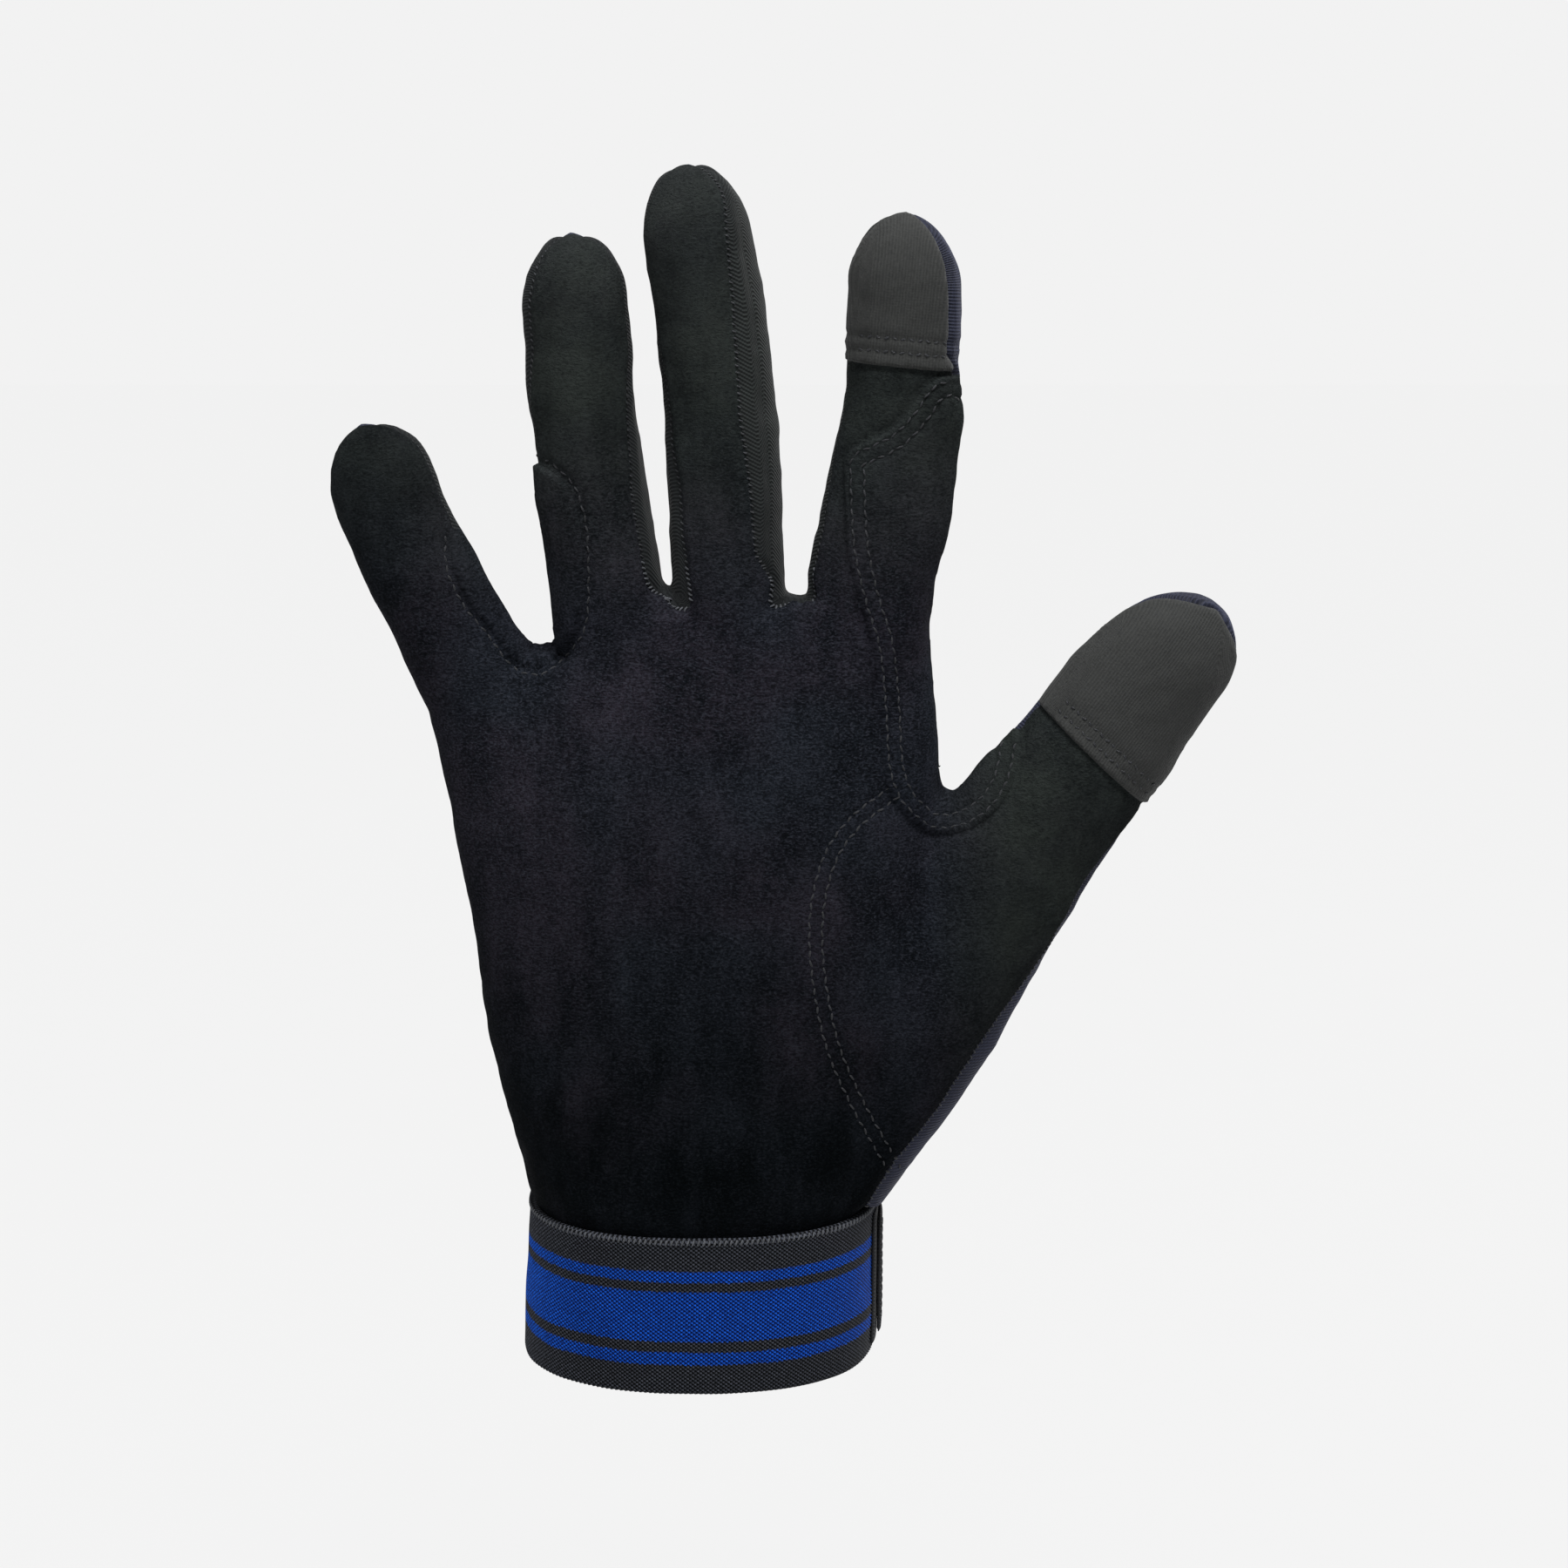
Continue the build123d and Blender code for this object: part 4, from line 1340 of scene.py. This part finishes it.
def cuff_piece(name, s_range, z_range, thick, step, material, basket=0.0, wave=0.0, corner=0.0,
               seed=0):
    """A curved strip of the cuff with rounded edges, thick from its inside to its outside.

    step is the weave's half pitch along and up; basket lifts every other crossing, wave is
    how far the strip sways in and out, and corner rounds its far end.
    """
    columns, rows_up = (int(round((b - a) / pitch)) + 1
                        for (a, b), pitch in zip((s_range, z_range), step))
    s, z = np.linspace(*s_range, columns), np.linspace(*z_range, rows_up)
    s_grid, z_grid = np.meshgrid(s, z, indexing="ij")
    checker = (np.add.outer(np.arange(columns), np.arange(rows_up)) % 2).astype(float)
    edge = np.minimum.outer(np.minimum(s - s[0], s[-1] - s), np.minimum(z - z[0], z[-1] - z))
    rounding = np.sqrt(np.clip(1.0 - (1.0 - np.clip(edge / ROUNDED, 0.0, 1.0)) ** 2, 0.0, 1.0))
    sway = wave * np.array([[noise.noise(Vector((a / 9.0, b / 9.0, seed))) for b in z] for a in s])
    if corner:
        u = np.clip((corner - (s[-1] - s_grid)) / corner, 0.0, 1.0)
        middle_z = (z[0] + z[-1]) / 2
        squeeze = 1.0 - (1.0 - np.sqrt(1.0 - u ** 2)) * 2 * corner / (z[-1] - z[0])
        z_grid = middle_z + (z_grid - middle_z) * squeeze
    inside, outside = thick
    middle, half = (inside + outside) / 2, (outside - inside) / 2 * (0.25 + 0.75 * rounding)
    outer = around_cuff(s_grid, z_grid, middle + half + sway + basket * (checker - 0.5))
    inner = around_cuff(s_grid, z_grid, middle - half + sway)
    points = np.vstack([outer.reshape(-1, 3), inner.reshape(-1, 3)])
    n = columns * rows_up
    index = np.arange(n).reshape(columns, rows_up)
    quads = np.stack([index[:-1, :-1], index[1:, :-1], index[1:, 1:], index[:-1, 1:]], -1)
    quads = quads.reshape(-1, 4)
    border = np.concatenate([index[:, 0], index[-1, 1:], index[-2::-1, -1], index[0, -2:0:-1]])
    walls = np.stack([np.roll(border, -1), border, border + n, np.roll(border, -1) + n], 1)
    share = (z_grid - z_range[0]) / (z_range[1] - z_range[0])
    even = np.repeat(np.arange(columns)[:, None] * step[0], rows_up, 1)
    weave_at = np.stack([even, share if basket else z_grid, checker], -1).reshape(-1, 3)
    return piece(name, points, quads.tolist() + (quads[:, ::-1] + n).tolist() + walls.tolist(),
                 points, np.vstack([weave_at] * 2), material)


CUFF_LAP = 0.8  # how far the band covers the back cuff's ends
CUFF_SPLIT = 4.0  # the palm side's band ends where the cuff is this far back
HINGE_REACH = 0.0015  # metres on each side of the hinge over which the tab bends
FINE = (0.5, 0.5)

back_range = where_on_cuff(lambda x, y: y > CUFF_SPLIT)
band_range = (back_range[1] - outline_length - CUFF_LAP, back_range[0] + CUFF_LAP)
loop_range = where_on_cuff(lambda x, y: (y > 0) & (x < 8.0) & (x > -29.0))
anchor_range = where_on_cuff(lambda x, y: (x > 0) & (y > -7.0) & (y < 3.8))
tab_range = where_on_cuff(lambda x, y: ((y > -5.0) & (x > 0.0)) | ((y > 0.0) & (x > -14.0)))
hook_range = where_on_cuff(lambda x, y: (y > 0) & (x < 6.0) & (x > -8.0))

# Name, CAD node, slot, place along and up the cuff, inside and outside, weave, material
STRIPS = [
    (("elastic_band_weave", "elastic_band", "woven_elastic"),
     (band_range, (0.0, CUFF_HEIGHT), (-2.0, 0.0), BASKET, ELASTIC, 0.42, 0.25, 0.0, 3)),
    (("back_cuff_knit", "back_cuff", "back_knit"),
     (back_range, (0.3, CUFF_HEIGHT), (-1.7, -0.1), (0.6, 0.6), NAVY, 0.0, 0.25, 0.0, 5)),
    (("cuff_binding_tape", "cuff_binding", "webbing"),
     (back_range, (0.0, 3.4), (0.0, 0.7), BASKET, WEBBING, 0.0, 0.1, 0.0, 6)),
    (("loop_tape", "loop_patch", "hook_and_loop"),
     (loop_range, (5.5, 27.5), (0.0, 0.5), FINE, LOOP, 0.0, 0.1)),
    (("tab_anchor_tape", "tab_anchor", "webbing"),
     (anchor_range, (2.0, 30.0), (0.0, 0.8), FINE, WEBBING, 0.0, 0.1)),
    (("closure_tab_tape", "closure_tab", "webbing"),
     (tab_range, (4.0, 29.0), (0.9, 1.75), FINE, WEBBING, 0.0, 0.1, 7.0)),
    (("hook_tape", "hook_patch", "hook_and_loop"),
     (hook_range, (5.5, 27.5), (0.5, 0.95), FINE, HOOK)),
]
for (name, node, slot), shape in STRIPS:
    made = cuff_piece(name, *shape)
    if node == "closure_tab":
        hinge = Vector(JOINTS["closure_tab_hinge"]["pos_m"])
        reach = Vector((0.0, HINGE_REACH, 0.0))
        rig.blend(made, "palm", "closure_tab", start=hinge - reach, end=hinge + reach)
    else:
        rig.ride(made, "closure_tab" if node == "hook_patch" else "palm")
    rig.slot(made, slot)
    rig.replaces(made, node)

# Whipped threads: the band's upper edge, and the box that fastens the tab to the anchor
whipping = Stitches("cuff_whipping", PALE_THREAD, "woven_elastic")
s = np.arange(back_range[1] - outline_length + 1.0, back_range[0] - 1.0, 1.05)
places = around_cuff(s, np.full(len(s), CUFF_HEIGHT - 0.5), 0.05)
run = unit(np.gradient(places, axis=0))
outwards = unit(np.cross(run, np.tile((0.0, 0.0, 1.0), (len(s), 1))))
whipping.add(places, unit(run * 0.35 + np.array([0.0, 0.0, 1.0])), outwards, 1.3, 0.2, 0.15)
whipping.build()

box = Stitches("tab_box", THREAD, "webbing")
near, far = anchor_range[0] + 2.9, anchor_range[0] + 5.6
low, high = 6.5, 26.5
corners = [(near, low), (near, high), (far, high), (far, low), (near, low)]
for start, end in zip(corners[:-1], corners[1:]):
    line = resample(np.array([start, end]), 1.8)
    places = around_cuff(line[:, 0], line[:, 1], 1.78)
    outwards = unit(places - around_cuff(line[:, 0], line[:, 1], 0.0))
    box.add(places, unit(np.gradient(places, axis=0)), outwards, 1.4, 0.14, 0.0)
box.build()


# ---- camera, light, floor

camera = placed("camera", bpy.data.cameras.new("camera"))
camera.location = Vector(CAMERA_PLACE) * MM
camera.rotation_euler = (radians(90.0 - CAMERA_PITCH), 0.0, 0.0)
camera.data.lens, camera.data.sensor_width = LENS, SENSOR
camera.data.clip_start = 0.01
bpy.context.scene.camera = camera

PALE = (0.888, 0.888, 0.888, 1.0)
AMBIENT = 0.36  # how much of the pale surroundings lights the glove
# Soft square lamps aimed at the middle of the glove: place, side (metres), power
LAMPS = {"key_light": ((0.15, -0.4, 1.15), 0.5, 20.0), "fill_light": ((-0.9, -0.6, 0.5), 0.8, 2.5),
         "rim_light": ((0.7, 0.6, 0.6), 0.6, 3.0)}
AIM = Vector((0.0, 0.0, 0.12))

for name, (place, size, power) in LAMPS.items():
    holder = placed(name, bpy.data.lights.new(name, "AREA"))
    holder.data.size, holder.data.energy = size, power
    holder.location = place
    holder.rotation_euler = (AIM - Vector(place)).to_track_quat("-Z", "Y").to_euler()

world = bpy.data.worlds.new("studio")
world.use_nodes = True
nodes, links = world.node_tree.nodes, world.node_tree.links
nodes["Background"].inputs["Color"].default_value = PALE
sight = nodes.new("ShaderNodeLightPath")
strength = nodes.new("ShaderNodeMapRange")
strength.inputs["To Min"].default_value = AMBIENT
links.new(sight.outputs["Is Camera Ray"], strength.inputs["Value"])
links.new(strength.outputs["Result"], nodes["Background"].inputs["Strength"])
bpy.context.scene.world = world

FLOOR_REACH, FLOOR_LEVEL = 4.0, -0.12  # metres
floor_mesh = bpy.data.meshes.new("floor")
floor_mesh.from_pydata([(a * FLOOR_REACH, b * FLOOR_REACH, FLOOR_LEVEL)
                        for a, b in ((-1, -1), (1, -1), (1, 1), (-1, 1))], [], [(0, 1, 2, 3)])
floor = placed("floor", floor_mesh)
paper = Material("pale_paper", Specular_IOR_Level=0.0, Emission_Strength=0.985,
                 Emission_Color=PALE)
fibre = paper.noise(paper.add("ShaderNodeTexCoord", {}, 3), 40.0, 2.0)
floor_mesh.materials.append(paper.finish(paper.mix(fibre, (36.4, 36.4, 36.4), (40.8, 40.8, 40.8)),
                                         paper.ramp(fibre, 0.0, 1.0, 0.9, 1.0), fibre, 0.1))
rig.stage(floor)

bpy.context.scene.view_settings.view_transform = "Standard"


# ---- sizes

with open("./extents.json", "w") as sizes:
    json.dump({"cad": [list(corner) for corner in cad_box],
               "visual": [list(corner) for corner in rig.bounds()]}, sizes)
